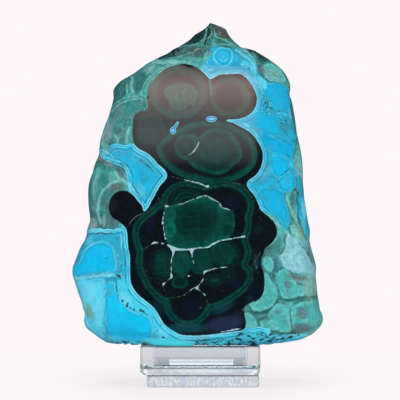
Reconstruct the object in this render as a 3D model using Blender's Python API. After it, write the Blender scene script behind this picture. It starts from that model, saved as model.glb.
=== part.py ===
"""A polished freeform of malachite and chrysocolla standing on a small clear acrylic stand.

Frame: metres, +Z up, origin at the centre of the stand's underside, polished face towards -Y.
The stone is one solid: a lumpy natural body cut by the flat polished face. The stand is two
pieces of acrylic, an open tray that carries the stone and a slightly narrower foot under it.
"""

import math

import bmesh
import bpy
import numpy as np

MM = 0.001

# ---- stand -------------------------------------------------------------------------------
FOOT_WIDTH = 45.2 * MM
FOOT_DEPTH = 39.0 * MM
FOOT_HEIGHT = 4.6 * MM
FOOT_CORNER = 2.0 * MM
FOOT_EDGE = 0.7 * MM

TRAY_WIDTH = 48.2 * MM
TRAY_DEPTH = 42.0 * MM
TRAY_SHIFT = -1.1 * MM  # the tray sits a little off centre on its foot
TRAY_BASE = FOOT_HEIGHT + 0.3 * MM
TRAY_TOP = 16.4 * MM
TRAY_FLOOR = 8.4 * MM
TRAY_WALL = 5.1 * MM
TRAY_CORNER = 2.2 * MM
TRAY_INNER_CORNER = 1.32 * MM
TRAY_CHAMFER = 1.3 * MM
TRAY_EDGE = 0.4 * MM
CORNER_STEPS = 6

# ---- stone -------------------------------------------------------------------------------
SEAT = TRAY_TOP + 0.3 * MM  # the stone's underside, just clear of the tray's rim
PEAK = 148.6 * MM
OVERHANG_START = 22 * MM  # right of here the underside climbs away from the tray
OVERHANG_RISE = 0.11
OVERHANG_FADE = 13 * MM

# Reach of the stone seen square on, as (height, x) in millimetres.
LEFT_EDGE = [
    (16.7, -40.6), (18.0, -42.4), (20.0, -44.6), (22.0, -46.8), (25.5, -48.0), (28.5, -48.0),
    (31.0, -49.3), (36.5, -51.0), (41.5, -52.6), (44.0, -53.6), (47.0, -53.5), (51.0, -51.9),
    (56.0, -50.1), (59.0, -48.6), (63.0, -48.0), (66.0, -46.9), (74.0, -46.5), (82.0, -46.5),
    (86.0, -45.8), (90.5, -44.4), (94.0, -42.9), (97.0, -42.8), (103.5, -40.5), (110.0, -38.0),
    (117.0, -36.9), (120.5, -36.9), (123.5, -34.6), (127.0, -29.4), (129.5, -26.2),
    (132.0, -22.8), (134.4, -18.2), (135.8, -15.0), (137.4, -12.8), (139.2, -9.2),
    (141.2, -6.0), (144.2, -2.4), (146.0, 0.2), (148.6, 2.6),
]
RIGHT_EDGE = [
    (16.7, 42.0), (18.5, 45.4), (20.5, 47.4), (22.5, 48.9), (25.0, 49.6), (27.5, 49.4),
    (31.0, 48.2), (36.0, 46.7), (41.0, 46.2), (47.0, 46.1), (52.5, 44.6), (58.0, 43.6),
    (62.5, 43.4), (67.0, 42.3), (74.0, 41.2), (88.0, 40.3), (97.0, 39.2), (110.0, 36.8),
    (116.0, 35.8), (119.5, 34.9), (121.0, 35.3), (125.0, 33.9), (128.5, 31.6), (132.0, 28.4),
    (134.3, 25.9), (136.0, 23.2), (137.1, 20.8), (137.8, 17.6), (139.8, 14.6), (143.0, 11.8),
    (146.4, 9.0), (147.8, 5.6), (148.6, 3.4),
]
# Depth of the natural body behind and in front of the axis, as (height, depth) in millimetres.
BACK_DEPTH = [
    (16.7, 15.5), (22.0, 18.0), (35.0, 20.0), (60.0, 20.6), (90.0, 18.0), (110.0, 14.5),
    (125.0, 10.5), (135.0, 6.5), (142.0, 3.6), (147.0, 1.6), (148.6, 0.6),
]
FRONT_DEPTH = [
    (16.7, 21.6), (18.5, 23.2), (20.5, 25.0), (23.0, 28.5), (35.0, 31.5), (60.0, 32.0),
    (90.0, 30.0), (110.0, 27.0), (122.0, 23.8), (131.0, 19.4), (137.5, 13.4), (142.5, 7.6),
    (147.0, 2.6), (148.6, 0.6),
]
# The middle of the stone follows its peak to the right: (height, x) in millimetres.
AXIS = [(16.7, 0.0), (100.0, 0.0), (130.0, 1.2), (142.0, 2.6), (148.6, 3.0)]

# How square each quarter of the cross-section is: 1 is a diamond, 2 an ellipse, more is
# boxier. Towards the summit every quarter turns into the diamond of its broken facets.
SQUARE_FRONT_LEFT = 2.2
SQUARE_FRONT_RIGHT = 3.4
SQUARE_BACK_LEFT = 2.2
SQUARE_BACK_RIGHT = 2.5
SQUARE_SUMMIT = 1.25
SUMMIT_START = 128 * MM
SUMMIT_FULL = 139 * MM

FACE_FRONT = -24.5 * MM  # the polished face where it starts
FACE_START = 22.0 * MM
FACE_LEAN = math.tan(math.radians(3.0))
FACE_ROUNDING = 0.7 * MM
CUT_FACING = 0.03  # a cut leaves alone the directions that face it less than this
CUT_FAR = 1.0
CUT_STEEPEST = 500  # keeps the exponential of a deep cut finite

# Kidney lumps that show beside the polished face: (x, y, z, radius, height) in millimetres.
SHOULDER_LUMPS = [
    (-17.5, -16.5, 126.0, 11.0, 3.6), (-31.0, -8.0, 119.0, 8.0, 1.8), (-30.0, -15.0, 108.0, 10.0, 2.4),
    (-36.5, -11.0, 93.0, 10.0, 2.0), (-40.0, -13.0, 79.0, 9.5, 2.0), (-41.0, -12.0, 64.0, 9.0, 2.0),
    (-47.0, -9.0, 50.0, 11.0, 2.4), (-43.0, -13.0, 33.0, 11.0, 2.2), (30.0, -8.0, 125.0, 10.0, 1.8),
    (36.0, -9.0, 111.0, 11.0, 1.2), (40.0, -8.0, 92.0, 12.0, 1.2), (42.0, -8.0, 70.0, 12.0, 1.2),
    (-11.0, -3.0, 134.5, 8.0, 2.0), (14.0, -2.0, 136.0, 8.0, 2.0),
]
# Kidney lumps over the back, scattered so that each lands far from those before it.
LUMP_COUNT = 46
LUMP_TRIES = 30
LUMP_ANGLES = (math.radians(-2), math.radians(184))
LUMP_HEIGHTS = (20 * MM, 142 * MM)
LUMP_RADIUS = (7.0 * MM, 11.5 * MM)
LUMP_RISE = 0.36  # height of a lump as a share of its radius
LUMP_BLEND = 0.2 * MM
LUMP_FLOOR = -1.0 * MM
LUMP_SEED = 11
EDGE_CALM = 0.3  # share of the lumps' height left where the stone is widest
EDGE_BAND = 0.30
LUMP_START = 8 * MM  # height over which the lumps grow in above the underside

# Broken facets round the summit: (x, y, z) in millimetres on each, and the way it faces.
FACETS = [
    ((-3.0, -9.0, 140.8), (-0.25, -0.55, 0.80)),
    ((9.0, -9.0, 140.5), (0.35, -0.55, 0.76)),
    ((-8.0, 8.0, 139.0), (-0.30, 0.55, 0.78)),
    ((12.0, 8.0, 139.5), (0.35, 0.55, 0.76)),
]

AROUND = 80
AROUND_STRETCH = 1.6  # points crowd towards the two narrow sides by this much
SIDE_ROWS = 58
ROW_CROWD = 0.25  # how far the rows crowd towards the peak
ROW_BEND = 0.9
UNDERSIDE_ROWS = 4


def flowing(at, knots):
    """Smooth curve through (position, value) knots: a cubic in each gap, its slopes taken
    from the knots on either side."""
    places, values = np.array(knots, float).T * MM
    slopes = np.gradient(values, places)
    at = np.clip(at, places[0], places[-1])
    gap = np.clip(np.searchsorted(places, at, side="right") - 1, 0, len(places) - 2)
    width = places[gap + 1] - places[gap]
    t = (at - places[gap]) / width
    start = (1 + 2 * t) * (1 - t) ** 2 * values[gap] + t * (1 - t) ** 2 * width * slopes[gap]
    end = t * t * (3 - 2 * t) * values[gap + 1] - t * t * (1 - t) * width * slopes[gap + 1]
    return start + end


def body_reach(angle, height):
    """Distance from the axis to the natural body: a superellipse in each quarter, whose half
    axes are the edges seen square on and the depths in front and behind."""
    along, across = np.cos(angle), np.sin(angle)
    axis = flowing(height, AXIS)
    right = flowing(height, RIGHT_EDGE) - axis
    left = axis - flowing(height, LEFT_EDGE)
    half_width = np.where(along > 0, right, left)
    half_depth = np.where(across > 0, flowing(height, BACK_DEPTH), flowing(height, FRONT_DEPTH))
    front = np.where(along > 0, SQUARE_FRONT_RIGHT, SQUARE_FRONT_LEFT)
    back = np.where(along > 0, SQUARE_BACK_RIGHT, SQUARE_BACK_LEFT)
    power = np.where(across > 0, back, front)
    summit = np.clip((height - SUMMIT_START) / (SUMMIT_FULL - SUMMIT_START), 0, 1)
    power = power + (SQUARE_SUMMIT - power) * summit
    sides = np.abs(along) / half_width
    depths = np.abs(across) / half_depth
    return (sides**power + depths**power) ** (-1 / power)


def on_body(angle, height):
    """Point of the natural body at an angle and a height."""
    reach = body_reach(angle, height)
    x = flowing(height, AXIS) + reach * np.cos(angle)
    return np.stack([x, reach * np.sin(angle), height], axis=-1)


def lumps():
    """(x, y, z, radius, height) of every kidney lump: the placed ones beside the polished
    face, and the scattered ones, each put at the roomiest of a few random spots."""
    made = [tuple(value * MM for value in lump) for lump in SHOULDER_LUMPS]
    scatter = np.random.default_rng(LUMP_SEED)
    for _ in range(LUMP_COUNT):
        angle = scatter.uniform(*LUMP_ANGLES, LUMP_TRIES)
        height = scatter.uniform(*LUMP_HEIGHTS, LUMP_TRIES)
        spots = on_body(angle, height)
        others = np.array([lump[:3] for lump in made])
        room = np.linalg.norm(spots[:, None] - others[None], axis=2).min(axis=1)
        radius = scatter.uniform(*LUMP_RADIUS)
        made.append((*spots[room.argmax()], radius, radius * LUMP_RISE))
    return made


def swelling(spots, lump_list):
    """How far the lumps lift the body: the highest of the domes over each spot, so that they
    meet in narrow valleys, down to a floor between them."""
    total = np.full(spots.shape[:-1], math.exp(LUMP_FLOOR / LUMP_BLEND))
    for x, y, z, radius, height in lump_list:
        away = ((spots - (x, y, z)) ** 2).sum(axis=-1) / radius**2
        total = total + np.exp(np.maximum(height * (1 - away), 2 * LUMP_FLOOR) / LUMP_BLEND)
    return LUMP_BLEND * np.log(total)


def cut(reach, angle, height, point, normal):
    """Cuts the reach by a plane through a point, with a narrow rounded edge."""
    facing = normal[0] * np.cos(angle) + normal[1] * np.sin(angle)
    level = normal[0] * (point[0] - flowing(height, AXIS)) + normal[1] * point[1]
    level = level + normal[2] * (point[2] - height)
    limit = np.where(facing > CUT_FACING, level / np.maximum(facing, CUT_FACING), CUT_FAR)
    over = np.minimum((reach - limit) / FACE_ROUNDING, CUT_STEEPEST)
    return reach - FACE_ROUNDING * np.log1p(np.exp(over))


def stone_reach(angle, height, lump_list):
    """Distance from the axis to the stone's side: the body lifted by its lumps, less so where
    the stone is widest, then cut by the summit's facets and the polished face."""
    calm = np.exp(-((np.sin(angle) / EDGE_BAND) ** 2)) * (1 - EDGE_CALM)
    grown = np.clip((height - SEAT) / LUMP_START, 0, 1) * (1 - calm)
    reach = body_reach(angle, height)
    reach = reach + swelling(on_body(angle, height), lump_list) * grown
    for point, normal in FACETS:
        reach = cut(reach, angle, height, [value * MM for value in point], normal)
    return cut(reach, angle, height, (0, FACE_FRONT, FACE_START), (0, -1, FACE_LEAN))


def stone_rings():
    """Rings of points from the middle of the underside, out to its edge, and up to the peak."""
    even = np.arange(AROUND) * 2 * math.pi / AROUND
    angle = np.arctan2(np.sin(even), AROUND_STRETCH * np.cos(even))
    lump_list = lumps()
    foot = stone_reach(angle, np.full(AROUND, SEAT), lump_list)
    even_rise = np.linspace(0, 1, SIDE_ROWS)
    crowded = np.sin(even_rise * math.pi / 2) ** ROW_BEND
    heights = SEAT + (PEAK - SEAT) * ((1 - ROW_CROWD) * even_rise + ROW_CROWD * crowded)
    rings = []
    for share in (np.arange(UNDERSIDE_ROWS) + 1) / (UNDERSIDE_ROWS + 1):
        rings.append((share * foot, np.full(AROUND, SEAT)))
    for height in heights[:-1]:
        level = np.full(AROUND, height)
        rings.append((stone_reach(angle, level, lump_list), level))
    points = []
    for reach, level in rings:
        x = flowing(level, AXIS) + reach * np.cos(angle)
        fade = np.clip(1 - (level - SEAT) / OVERHANG_FADE, 0, 1)
        lift = OVERHANG_RISE * np.maximum(x - OVERHANG_START, 0) * fade
        points.append(np.stack([x, reach * np.sin(angle), level + lift], axis=1))
    return points


def rounded_ring(width, depth, radius, height, shift=0.0):
    """Outline of a rounded rectangle at a height, as quarter arcs at its four corners."""
    ring = []
    for corner in range(4):
        middle = math.pi / 2 * corner
        cx = (width / 2 - radius) * (1 if corner in (0, 3) else -1) + shift
        cy = (depth / 2 - radius) * (1 if corner in (0, 1) else -1)
        for step in range(CORNER_STEPS + 1):
            turn = middle + math.pi / 2 * step / CORNER_STEPS
            ring.append((cx + radius * math.cos(turn), cy + radius * math.sin(turn), height))
    return ring


def loft(name, rings, material, start=None, end=None):
    """A closed skin through rings of equal length. Each end closes on a point, or on a flat
    face where no point is given."""
    mesh = bmesh.new()
    loops = [[mesh.verts.new(point) for point in ring] for ring in rings]
    for lower, upper in zip(loops, loops[1:]):
        for i in range(len(lower)):
            j = (i + 1) % len(lower)
            mesh.faces.new((lower[i], lower[j], upper[j], upper[i]))
    for point, loop, first in ((start, loops[0], True), (end, loops[-1], False)):
        order = loop[::-1] if first else loop
        if point is None:
            mesh.faces.new(order)
            continue
        tip = mesh.verts.new(point)
        for i in range(len(order)):
            mesh.faces.new((order[i], order[(i + 1) % len(order)], tip))
    data = bpy.data.meshes.new(name)
    mesh.to_mesh(data)
    mesh.free()
    data.materials.append(material)
    piece = bpy.data.objects.new(name, data)
    bpy.context.scene.collection.objects.link(piece)
    return piece


def finish(name, colour, roughness, clear=0.0):
    """A plain Principled material."""
    material = bpy.data.materials.new(name)
    material.use_nodes = True
    shader = material.node_tree.nodes["Principled BSDF"]
    shader.inputs["Base Color"].default_value = (*colour, 1)
    shader.inputs["Roughness"].default_value = roughness
    shader.inputs["Metallic"].default_value = 0.0
    shader.inputs["Transmission Weight"].default_value = clear
    return material


def make_stone():
    """The freeform stone: lumpy body, polished face, closed on its peak and under its middle."""
    tip = (float(flowing(PEAK, AXIS)), 0.0, PEAK)
    stone = loft(
        "stone", stone_rings(), finish("polished_stone", (0.01, 0.22, 0.3), 0.12),
        start=(0.0, 0.0, SEAT), end=tip,
    )
    stone.data.shade_smooth()
    return stone


def make_tray(acrylic):
    """The open tray: outside up from its chamfered base, over the rim, and down to its floor."""
    inner_width = TRAY_WIDTH - 2 * TRAY_WALL
    inner_depth = TRAY_DEPTH - 2 * TRAY_WALL
    levels = [
        (TRAY_WIDTH - 2 * TRAY_CHAMFER, TRAY_DEPTH - 2 * TRAY_CHAMFER, TRAY_CORNER, TRAY_BASE),
        (TRAY_WIDTH, TRAY_DEPTH, TRAY_CORNER, TRAY_BASE + TRAY_CHAMFER),
        (TRAY_WIDTH, TRAY_DEPTH, TRAY_CORNER, TRAY_TOP - TRAY_EDGE),
        (TRAY_WIDTH - 2 * TRAY_EDGE, TRAY_DEPTH - 2 * TRAY_EDGE, TRAY_CORNER, TRAY_TOP),
        (inner_width + 2 * TRAY_EDGE, inner_depth + 2 * TRAY_EDGE, TRAY_INNER_CORNER, TRAY_TOP),
        (inner_width, inner_depth, TRAY_INNER_CORNER, TRAY_TOP - TRAY_EDGE),
        (inner_width, inner_depth, TRAY_INNER_CORNER, TRAY_FLOOR),
    ]
    rings = [rounded_ring(*level, TRAY_SHIFT) for level in levels]
    return loft("stand_tray", rings, acrylic)


def make_foot(acrylic):
    """The foot: a flat slab with its upper and lower edges eased."""
    small = (FOOT_WIDTH - 2 * FOOT_EDGE, FOOT_DEPTH - 2 * FOOT_EDGE, FOOT_CORNER)
    full = (FOOT_WIDTH, FOOT_DEPTH, FOOT_CORNER)
    rings = [
        rounded_ring(*small, 0.0),
        rounded_ring(*full, FOOT_EDGE),
        rounded_ring(*full, FOOT_HEIGHT - FOOT_EDGE),
        rounded_ring(*small, FOOT_HEIGHT),
    ]
    return loft("stand_foot", rings, acrylic)


def main():
    for leftover in list(bpy.data.objects):
        bpy.data.objects.remove(leftover)
    acrylic = finish("clear_acrylic", (0.92, 0.94, 0.96), 0.05, clear=1.0)
    make_stone()
    make_tray(acrylic)
    make_foot(acrylic)


main()
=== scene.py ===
"""A polished freeform of malachite and chrysocolla on a small clear acrylic stand.

Frame: metres, +Z up, origin at the centre of the stand's underside, polished face towards -Y.

The stone's surface is a two-parameter grid, angle round the stone by height. Its radius at each
point is a superellipse through the stone's side and depth outlines, swollen by kidney-shaped
domes, chipped by shallow spherical scoops, and cut by planes for the summit's facets and the
polished face. Its markings are distances, in numpy, to outlines laid out on a flat sheet in
front of the face; the materials turn those distances into crisp bands, borders and veins. The
two blocks of the stand are profiles carried round a rectangle with rounded corners.
"""

import math

import bpy
import numpy as np
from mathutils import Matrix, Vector

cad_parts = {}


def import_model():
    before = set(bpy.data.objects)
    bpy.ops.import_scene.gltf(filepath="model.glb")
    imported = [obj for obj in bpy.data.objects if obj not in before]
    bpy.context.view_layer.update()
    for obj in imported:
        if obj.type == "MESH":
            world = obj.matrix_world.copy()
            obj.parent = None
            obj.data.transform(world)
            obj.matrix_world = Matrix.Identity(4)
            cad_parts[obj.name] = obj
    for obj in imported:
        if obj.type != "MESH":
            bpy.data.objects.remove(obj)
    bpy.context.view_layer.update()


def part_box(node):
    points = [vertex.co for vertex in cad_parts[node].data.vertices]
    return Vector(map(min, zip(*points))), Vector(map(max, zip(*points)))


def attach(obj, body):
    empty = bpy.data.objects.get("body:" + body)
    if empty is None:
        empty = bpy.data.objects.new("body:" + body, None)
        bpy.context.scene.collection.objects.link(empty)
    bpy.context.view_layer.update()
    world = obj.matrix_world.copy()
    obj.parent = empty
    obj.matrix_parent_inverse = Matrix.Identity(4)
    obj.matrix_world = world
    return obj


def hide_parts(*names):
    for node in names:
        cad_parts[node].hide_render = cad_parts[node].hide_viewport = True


MM = 0.001
TINY = 1e-9

# ---- eye and sheet -----------------------------------------------------------------------
EYE = (-1.2 * MM, -621.0 * MM, 75.2 * MM)
SENSOR = 36.0  # width of the camera's sensor, in millimetres
SHEET_DEPTH = 600.0 * MM  # the drawing sheet stands this far in front of the eye
SHEET_UNIT = 0.4 * MM  # markings are drawn in steps of 0.4 mm, across and down the sheet
SHEET_WIDTH = 400  # steps across the sheet, which the camera takes in whole
SHEET_LEFT = 203.0  # the steps at which the sheet meets the stand's middle and its underside
SHEET_FOOT = 388.0

# ---- stone: the same shape as the solid part, on a finer grid ------------------------------
SEAT = 16.7 * MM
PEAK = 148.6 * MM
OVERHANG_START = 22 * MM
OVERHANG_RISE = 0.11
OVERHANG_FADE = 13 * MM

# Reach of the stone seen square on, as (height, x) in millimetres.
LEFT_EDGE = [
    (16.7, -40.6), (18, -42.4), (20, -44.6), (22, -46.8), (25.5, -48), (28.5, -48), (31, -49.3),
    (36.5, -51), (41.5, -52.6), (44, -53.6), (47, -53.5), (51, -51.9), (56, -50.1), (59, -48.6),
    (63, -48), (66, -46.9), (74, -46.5), (82, -46.5), (86, -45.8), (90.5, -44.4), (94, -42.9),
    (97, -42.8), (103.5, -40.5), (110, -38), (117, -36.9), (120.5, -36.9), (123.5, -34.6),
    (127, -29.4), (129.5, -26.2), (132, -22.8), (134.4, -18.2), (135.8, -15), (137.4, -12.8),
    (139.2, -9.2), (141.2, -6), (144.2, -2.4), (146, 0.2), (148.6, 2.6),
]
RIGHT_EDGE = [
    (16.7, 42), (18.5, 45.4), (20.5, 47.4), (22.5, 48.9), (25, 49.6), (27.5, 49.4), (31, 48.2),
    (36, 46.7), (41, 46.2), (47, 46.1), (52.5, 44.6), (58, 43.6), (62.5, 43.4), (67, 42.3),
    (74, 41.2), (88, 40.3), (97, 39.2), (110, 36.8), (116, 35.8), (119.5, 34.9), (121, 35.3),
    (125, 33.9), (128.5, 31.6), (132, 28.4), (134.3, 25.9), (136, 23.2), (137.1, 20.8),
    (137.8, 17.6), (139.8, 14.6), (143, 11.8), (146.4, 9), (147.8, 5.6), (148.6, 3.4),
]
# Depth of the natural body behind and in front of the axis, as (height, depth) in millimetres.
BACK_DEPTH = [
    (16.7, 15.5), (22, 18), (35, 20), (60, 20.6), (90, 18), (110, 14.5), (125, 10.5), (135, 6.5),
    (142, 3.6), (147, 1.6), (148.6, 0.6),
]
FRONT_DEPTH = [
    (16.7, 21.6), (18.5, 23.2), (20.5, 25), (23, 28.5), (35, 31.5), (60, 32), (90, 30), (110, 27),
    (122, 23.8), (131, 19.4), (137.5, 13.4), (142.5, 7.6), (147, 2.6), (148.6, 0.6),
]
# The middle of the stone follows its peak to the right: (height, x) in millimetres.
AXIS = [(16.7, 0), (100, 0), (130, 1.2), (142, 2.6), (148.6, 3)]

# Powers of the superellipse in each quarter, and near the summit.
SQUARE_FRONT_LEFT = 2.2
SQUARE_FRONT_RIGHT = 3.4
SQUARE_BACK_LEFT = 2.2
SQUARE_BACK_RIGHT = 2.5
SQUARE_SUMMIT = 1.25
SUMMIT_START = 128 * MM
SUMMIT_FULL = 139 * MM

FACE_FRONT = -24.5 * MM
FACE_START = 22.0 * MM
FACE_LEAN = math.tan(math.radians(3.0))
FACE_ROUNDING = 0.35 * MM
LEAST_FACING = 0.03  # a plane cuts only the directions that face it by more than this
FAR = 1.0  # the limit in all other directions
STEEPEST = 500  # keeps the exponential of the rounding finite

# Kidney lumps that show beside the polished face: (x, y, z, radius, height) in millimetres.
SHOULDER_LUMPS = [
    (-17.5, -16.5, 126, 11, 3.6), (-31, -8, 119, 8, 1.8), (-30, -15, 108, 10, 2.4),
    (-36.5, -11, 93, 10, 2), (-40, -13, 79, 9.5, 2), (-41, -12, 64, 9, 2), (-47, -9, 50, 11, 2.4),
    (-43, -13, 33, 11, 2.2), (30, -8, 125, 10, 1.8), (36, -9, 111, 11, 1.2),
    (40, -8, 92, 12, 1.2), (42, -8, 70, 12, 1.2), (-11, -3, 134.5, 8, 2), (14, -2, 136, 8, 2),
]
LUMP_COUNT = 46
LUMP_TRIES = 30
LUMP_ANGLES = (math.radians(-2), math.radians(184))
LUMP_HEIGHTS = (20 * MM, 142 * MM)
LUMP_RADIUS = (7.0 * MM, 11.5 * MM)
LUMP_RISE = 0.36
LUMP_BLEND = 0.2 * MM
LUMP_FLOOR = -1.0 * MM
LUMP_SEED = 11
LUMP_START = 8 * MM  # the lumps grow to full height over this much above the seat
EDGE_CALM = 0.3  # share of their height that they keep where the stone is widest
EDGE_BAND = 0.30

# Broken facets round the summit: (x, y, z) in millimetres on each, and the way it faces.
FACETS = [
    ((-3, -9, 140.8), (-0.25, -0.55, 0.8)),
    ((9, -9, 140.5), (0.35, -0.55, 0.76)),
    ((-8, 8, 139), (-0.3, 0.55, 0.78)),
    ((12, 8, 139.5), (0.35, 0.55, 0.76)),
]

FRONT_STEP = 0.50 * MM  # grid spacing round the stone: face, flanks, back
FLANK_STEP = 0.75 * MM
BACK_STEP = 1.3 * MM
FLANK_START = -19 * MM  # where the flanks and the back start, from front to back
BACK_START = 8 * MM
MIDDLE_HEIGHT = 60 * MM
TRIAL_ANGLES = 4001
SIDE_ROWS = 292
UNDERSIDE_ROWS = 10
CROWDED_ROWS = 0.2  # share of the rows' heights that is crowded towards the peak
CROWDING = 0.9

# Ripples: how many waves, how widely their lengths spread, and what brings their sum near 1.
WAVES = 7
WAVE_SPREAD = (0.7, 1.5)
WAVE_SUM = 1.4

# Wear. A pair is the range over which a share rises from 0 to 1. The broken rim at the right
# and at the left, by distance from the middle and forwards, and the height of its top.
RIM_RIGHT = (-6 * MM, -1 * MM)
RIM_RIGHT_FRONT = (17 * MM, 20 * MM)
RIM_LEFT = (19 * MM, 25 * MM)
RIM_LEFT_FRONT = (0, 4 * MM)
RIM_LEFT_SHARE = 0.7
RIM_TOP = 20.5 * MM
RIM_RISE = 2.5 * MM
RIM_RISE_OVER = (10 * MM, 16 * MM)
RIM_DROP = 1.5 * MM
RIM_DROP_OVER = (18 * MM, 22 * MM)
RIM_FADE = (-1.5 * MM, 0.5 * MM)
SAWN_HEIGHT = 1.0 * MM
CROWN_OVER = (131 * MM, 135 * MM)
BEHIND_OVER = (2 * MM, 9 * MM)
CROWN_ROUGH = 0.25
BEHIND_ROUGH = 0.3
# Crust and grain as ripples of (strength, size, seed); shell-shaped chips in the crown.
CRUST_WAVES = [(0.4, 2.4 * MM, 8), (0.35, 1.1 * MM, 9)]
CRUST_MIDDLE = 0.5
CRUST_MOST = 1.2
CRUST_DEPTH = 1.3 * MM
CREVICE_START = 0.63  # crust beyond this is a crevice, and how steeply it deepens
CREVICE_SLOPE = 5
CREVICE_RIM = (0.2, 0.6)
GRAIN_WAVES = [(0.16 * MM, 2.2 * MM, 3), (0.07 * MM, 0.9 * MM, 4)]
GRAIN_DEPTH = 0.12 * MM
CHIP_LOW = (-22 * MM, -12 * MM, 133 * MM)
CHIP_HIGH = (18 * MM, 8 * MM, 149 * MM)
CHIP_COUNT = 34
CHIP_SEED = 7
CHIP_RADIUS = 5.5 * MM
CHIP_DEPTH = 0.9 * MM
TIP_ROUGH = 0.3
# The rim's ragged hem: how far and over what height it is raised, and where at the left.
HEM_RISE = 1.5 * MM
HEM_HEIGHT = 3 * MM
HEM_LEFT = (-36 * MM, -29 * MM)
HEM_MIDDLE = 0.45
HEM_WAVES = [(0.6, 2.6 * MM, 10)]


def flowing(at, knots):
    """Smooth curve through (position, value) knots: a cubic in each gap, its slopes taken
    from the knots on either side."""
    places, values = np.array(knots, float).T * MM
    slopes = np.gradient(values, places)
    at = np.clip(at, places[0], places[-1])
    gap = np.clip(np.searchsorted(places, at, side="right") - 1, 0, len(places) - 2)
    width = places[gap + 1] - places[gap]
    t = (at - places[gap]) / width
    start = (1 + 2 * t) * (1 - t) ** 2 * values[gap] + t * (1 - t) ** 2 * width * slopes[gap]
    end = t * t * (3 - 2 * t) * values[gap + 1] - t * t * (1 - t) * width * slopes[gap + 1]
    return start + end


def between(value, low, high):
    """0 below low, 1 above high, and a smooth rise between them."""
    share = np.clip((value - low) / (high - low), 0, 1)
    return share * share * (3 - 2 * share)


def ridge(value, middle, width):
    """1 at the middle value, falling off on both sides over about the width."""
    return np.exp(-(((value - middle) / width) ** 2))


def ripple(points, size, seed):
    """Smooth unevenness between about -1 and 1: a sum of sine waves in random directions, of
    lengths near the given size."""
    chance = np.random.default_rng(seed)
    total = np.zeros(points.shape[:-1])
    for _ in range(WAVES):
        way = chance.normal(size=3)
        way = way / np.linalg.norm(way) * 2 * math.pi / (size * chance.uniform(*WAVE_SPREAD))
        total = total + np.sin(points @ way + chance.uniform(0, 2 * math.pi))
    return total / WAVES**0.5 / WAVE_SUM


def ripples(points, waves):
    """A sum of ripples, each given as (strength, size, seed)."""
    return sum(strength * ripple(points, size, seed) for strength, size, seed in waves)


def body_reach(angle, height):
    """Distance from the axis to the natural body: a superellipse in each quarter, whose half
    axes are the edges seen square on and the depths in front and behind."""
    along, across = np.cos(angle), np.sin(angle)
    axis = flowing(height, AXIS)
    right = flowing(height, RIGHT_EDGE) - axis
    left = axis - flowing(height, LEFT_EDGE)
    half_width = np.where(along > 0, right, left)
    half_depth = np.where(across > 0, flowing(height, BACK_DEPTH), flowing(height, FRONT_DEPTH))
    front = np.where(along > 0, SQUARE_FRONT_RIGHT, SQUARE_FRONT_LEFT)
    back = np.where(along > 0, SQUARE_BACK_RIGHT, SQUARE_BACK_LEFT)
    power = np.where(across > 0, back, front)
    summit = np.clip((height - SUMMIT_START) / (SUMMIT_FULL - SUMMIT_START), 0, 1)
    power = power + (SQUARE_SUMMIT - power) * summit
    sides = np.abs(along) / half_width
    depths = np.abs(across) / half_depth
    return (sides**power + depths**power) ** (-1 / power)


def on_body(angle, height):
    """Point of the natural body at an angle and a height."""
    reach = body_reach(angle, height)
    x = flowing(height, AXIS) + reach * np.cos(angle)
    return np.stack([x, reach * np.sin(angle), height], axis=-1)


def lumps():
    """(x, y, z, radius, height) of every kidney lump: the placed ones beside the polished
    face, and the scattered ones, each put at the roomiest of a few random spots."""
    made = [tuple(value * MM for value in lump) for lump in SHOULDER_LUMPS]
    scatter = np.random.default_rng(LUMP_SEED)
    for _ in range(LUMP_COUNT):
        angle = scatter.uniform(*LUMP_ANGLES, LUMP_TRIES)
        height = scatter.uniform(*LUMP_HEIGHTS, LUMP_TRIES)
        spots = on_body(angle, height)
        others = np.array([lump[:3] for lump in made])
        room = np.linalg.norm(spots[:, None] - others[None], axis=2).min(axis=1)
        radius = scatter.uniform(*LUMP_RADIUS)
        made.append((*spots[room.argmax()], radius, radius * LUMP_RISE))
    return made


def swelling(spots, lump_list):
    """How far the lumps lift the body: the highest of the domes over each spot, so that they
    meet in narrow valleys, down to a floor between them. Also which lump is highest, and by
    how much it beats the next, which is small along the valleys."""
    shape = spots.shape[:-1]
    total = np.full(shape, math.exp(LUMP_FLOOR / LUMP_BLEND))
    best = np.full(shape, 2 * LUMP_FLOOR)
    second = best.copy()
    owner = np.zeros(shape, int)
    for index, (x, y, z, radius, height) in enumerate(lump_list):
        away = ((spots - (x, y, z)) ** 2).sum(axis=-1) / radius**2
        dome = np.maximum(height * (1 - away), 2 * LUMP_FLOOR)
        total = total + np.exp(dome / LUMP_BLEND)
        second = np.maximum(second, np.minimum(best, dome))
        owner = np.where(dome > best, index, owner)
        best = np.maximum(best, dome)
    return LUMP_BLEND * np.log(total), owner, best - second


def cut(reach, angle, height, point, normal):
    """Cuts the reach by a plane through a point, with a narrow rounded edge."""
    facing = normal[0] * np.cos(angle) + normal[1] * np.sin(angle)
    level = normal[0] * (point[0] - flowing(height, AXIS)) + normal[1] * point[1]
    level = level + normal[2] * (point[2] - height)
    limit = np.where(facing > LEAST_FACING, level / np.maximum(facing, LEAST_FACING), FAR)
    over = np.minimum((reach - limit) / FACE_ROUNDING, STEEPEST)
    return reach - FACE_ROUNDING * np.log1p(np.exp(over))


def stone_reach(angle, height, lump_list):
    """Distance from the axis to the stone's side: the body lifted by its lumps, less so where
    the stone is widest, then cut by the summit's facets and the polished face."""
    calm = ridge(np.sin(angle), 0, EDGE_BAND) * (1 - EDGE_CALM)
    grown = np.clip((height - SEAT) / LUMP_START, 0, 1) * (1 - calm)
    reach = body_reach(angle, height)
    if lump_list:
        reach = reach + swelling(on_body(angle, height), lump_list)[0] * grown
    for point, normal in FACETS:
        reach = cut(reach, angle, height, [value * MM for value in point], normal)
    return cut(reach, angle, height, (0, FACE_FRONT, FACE_START), (0, -1, FACE_LEAN))


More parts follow.
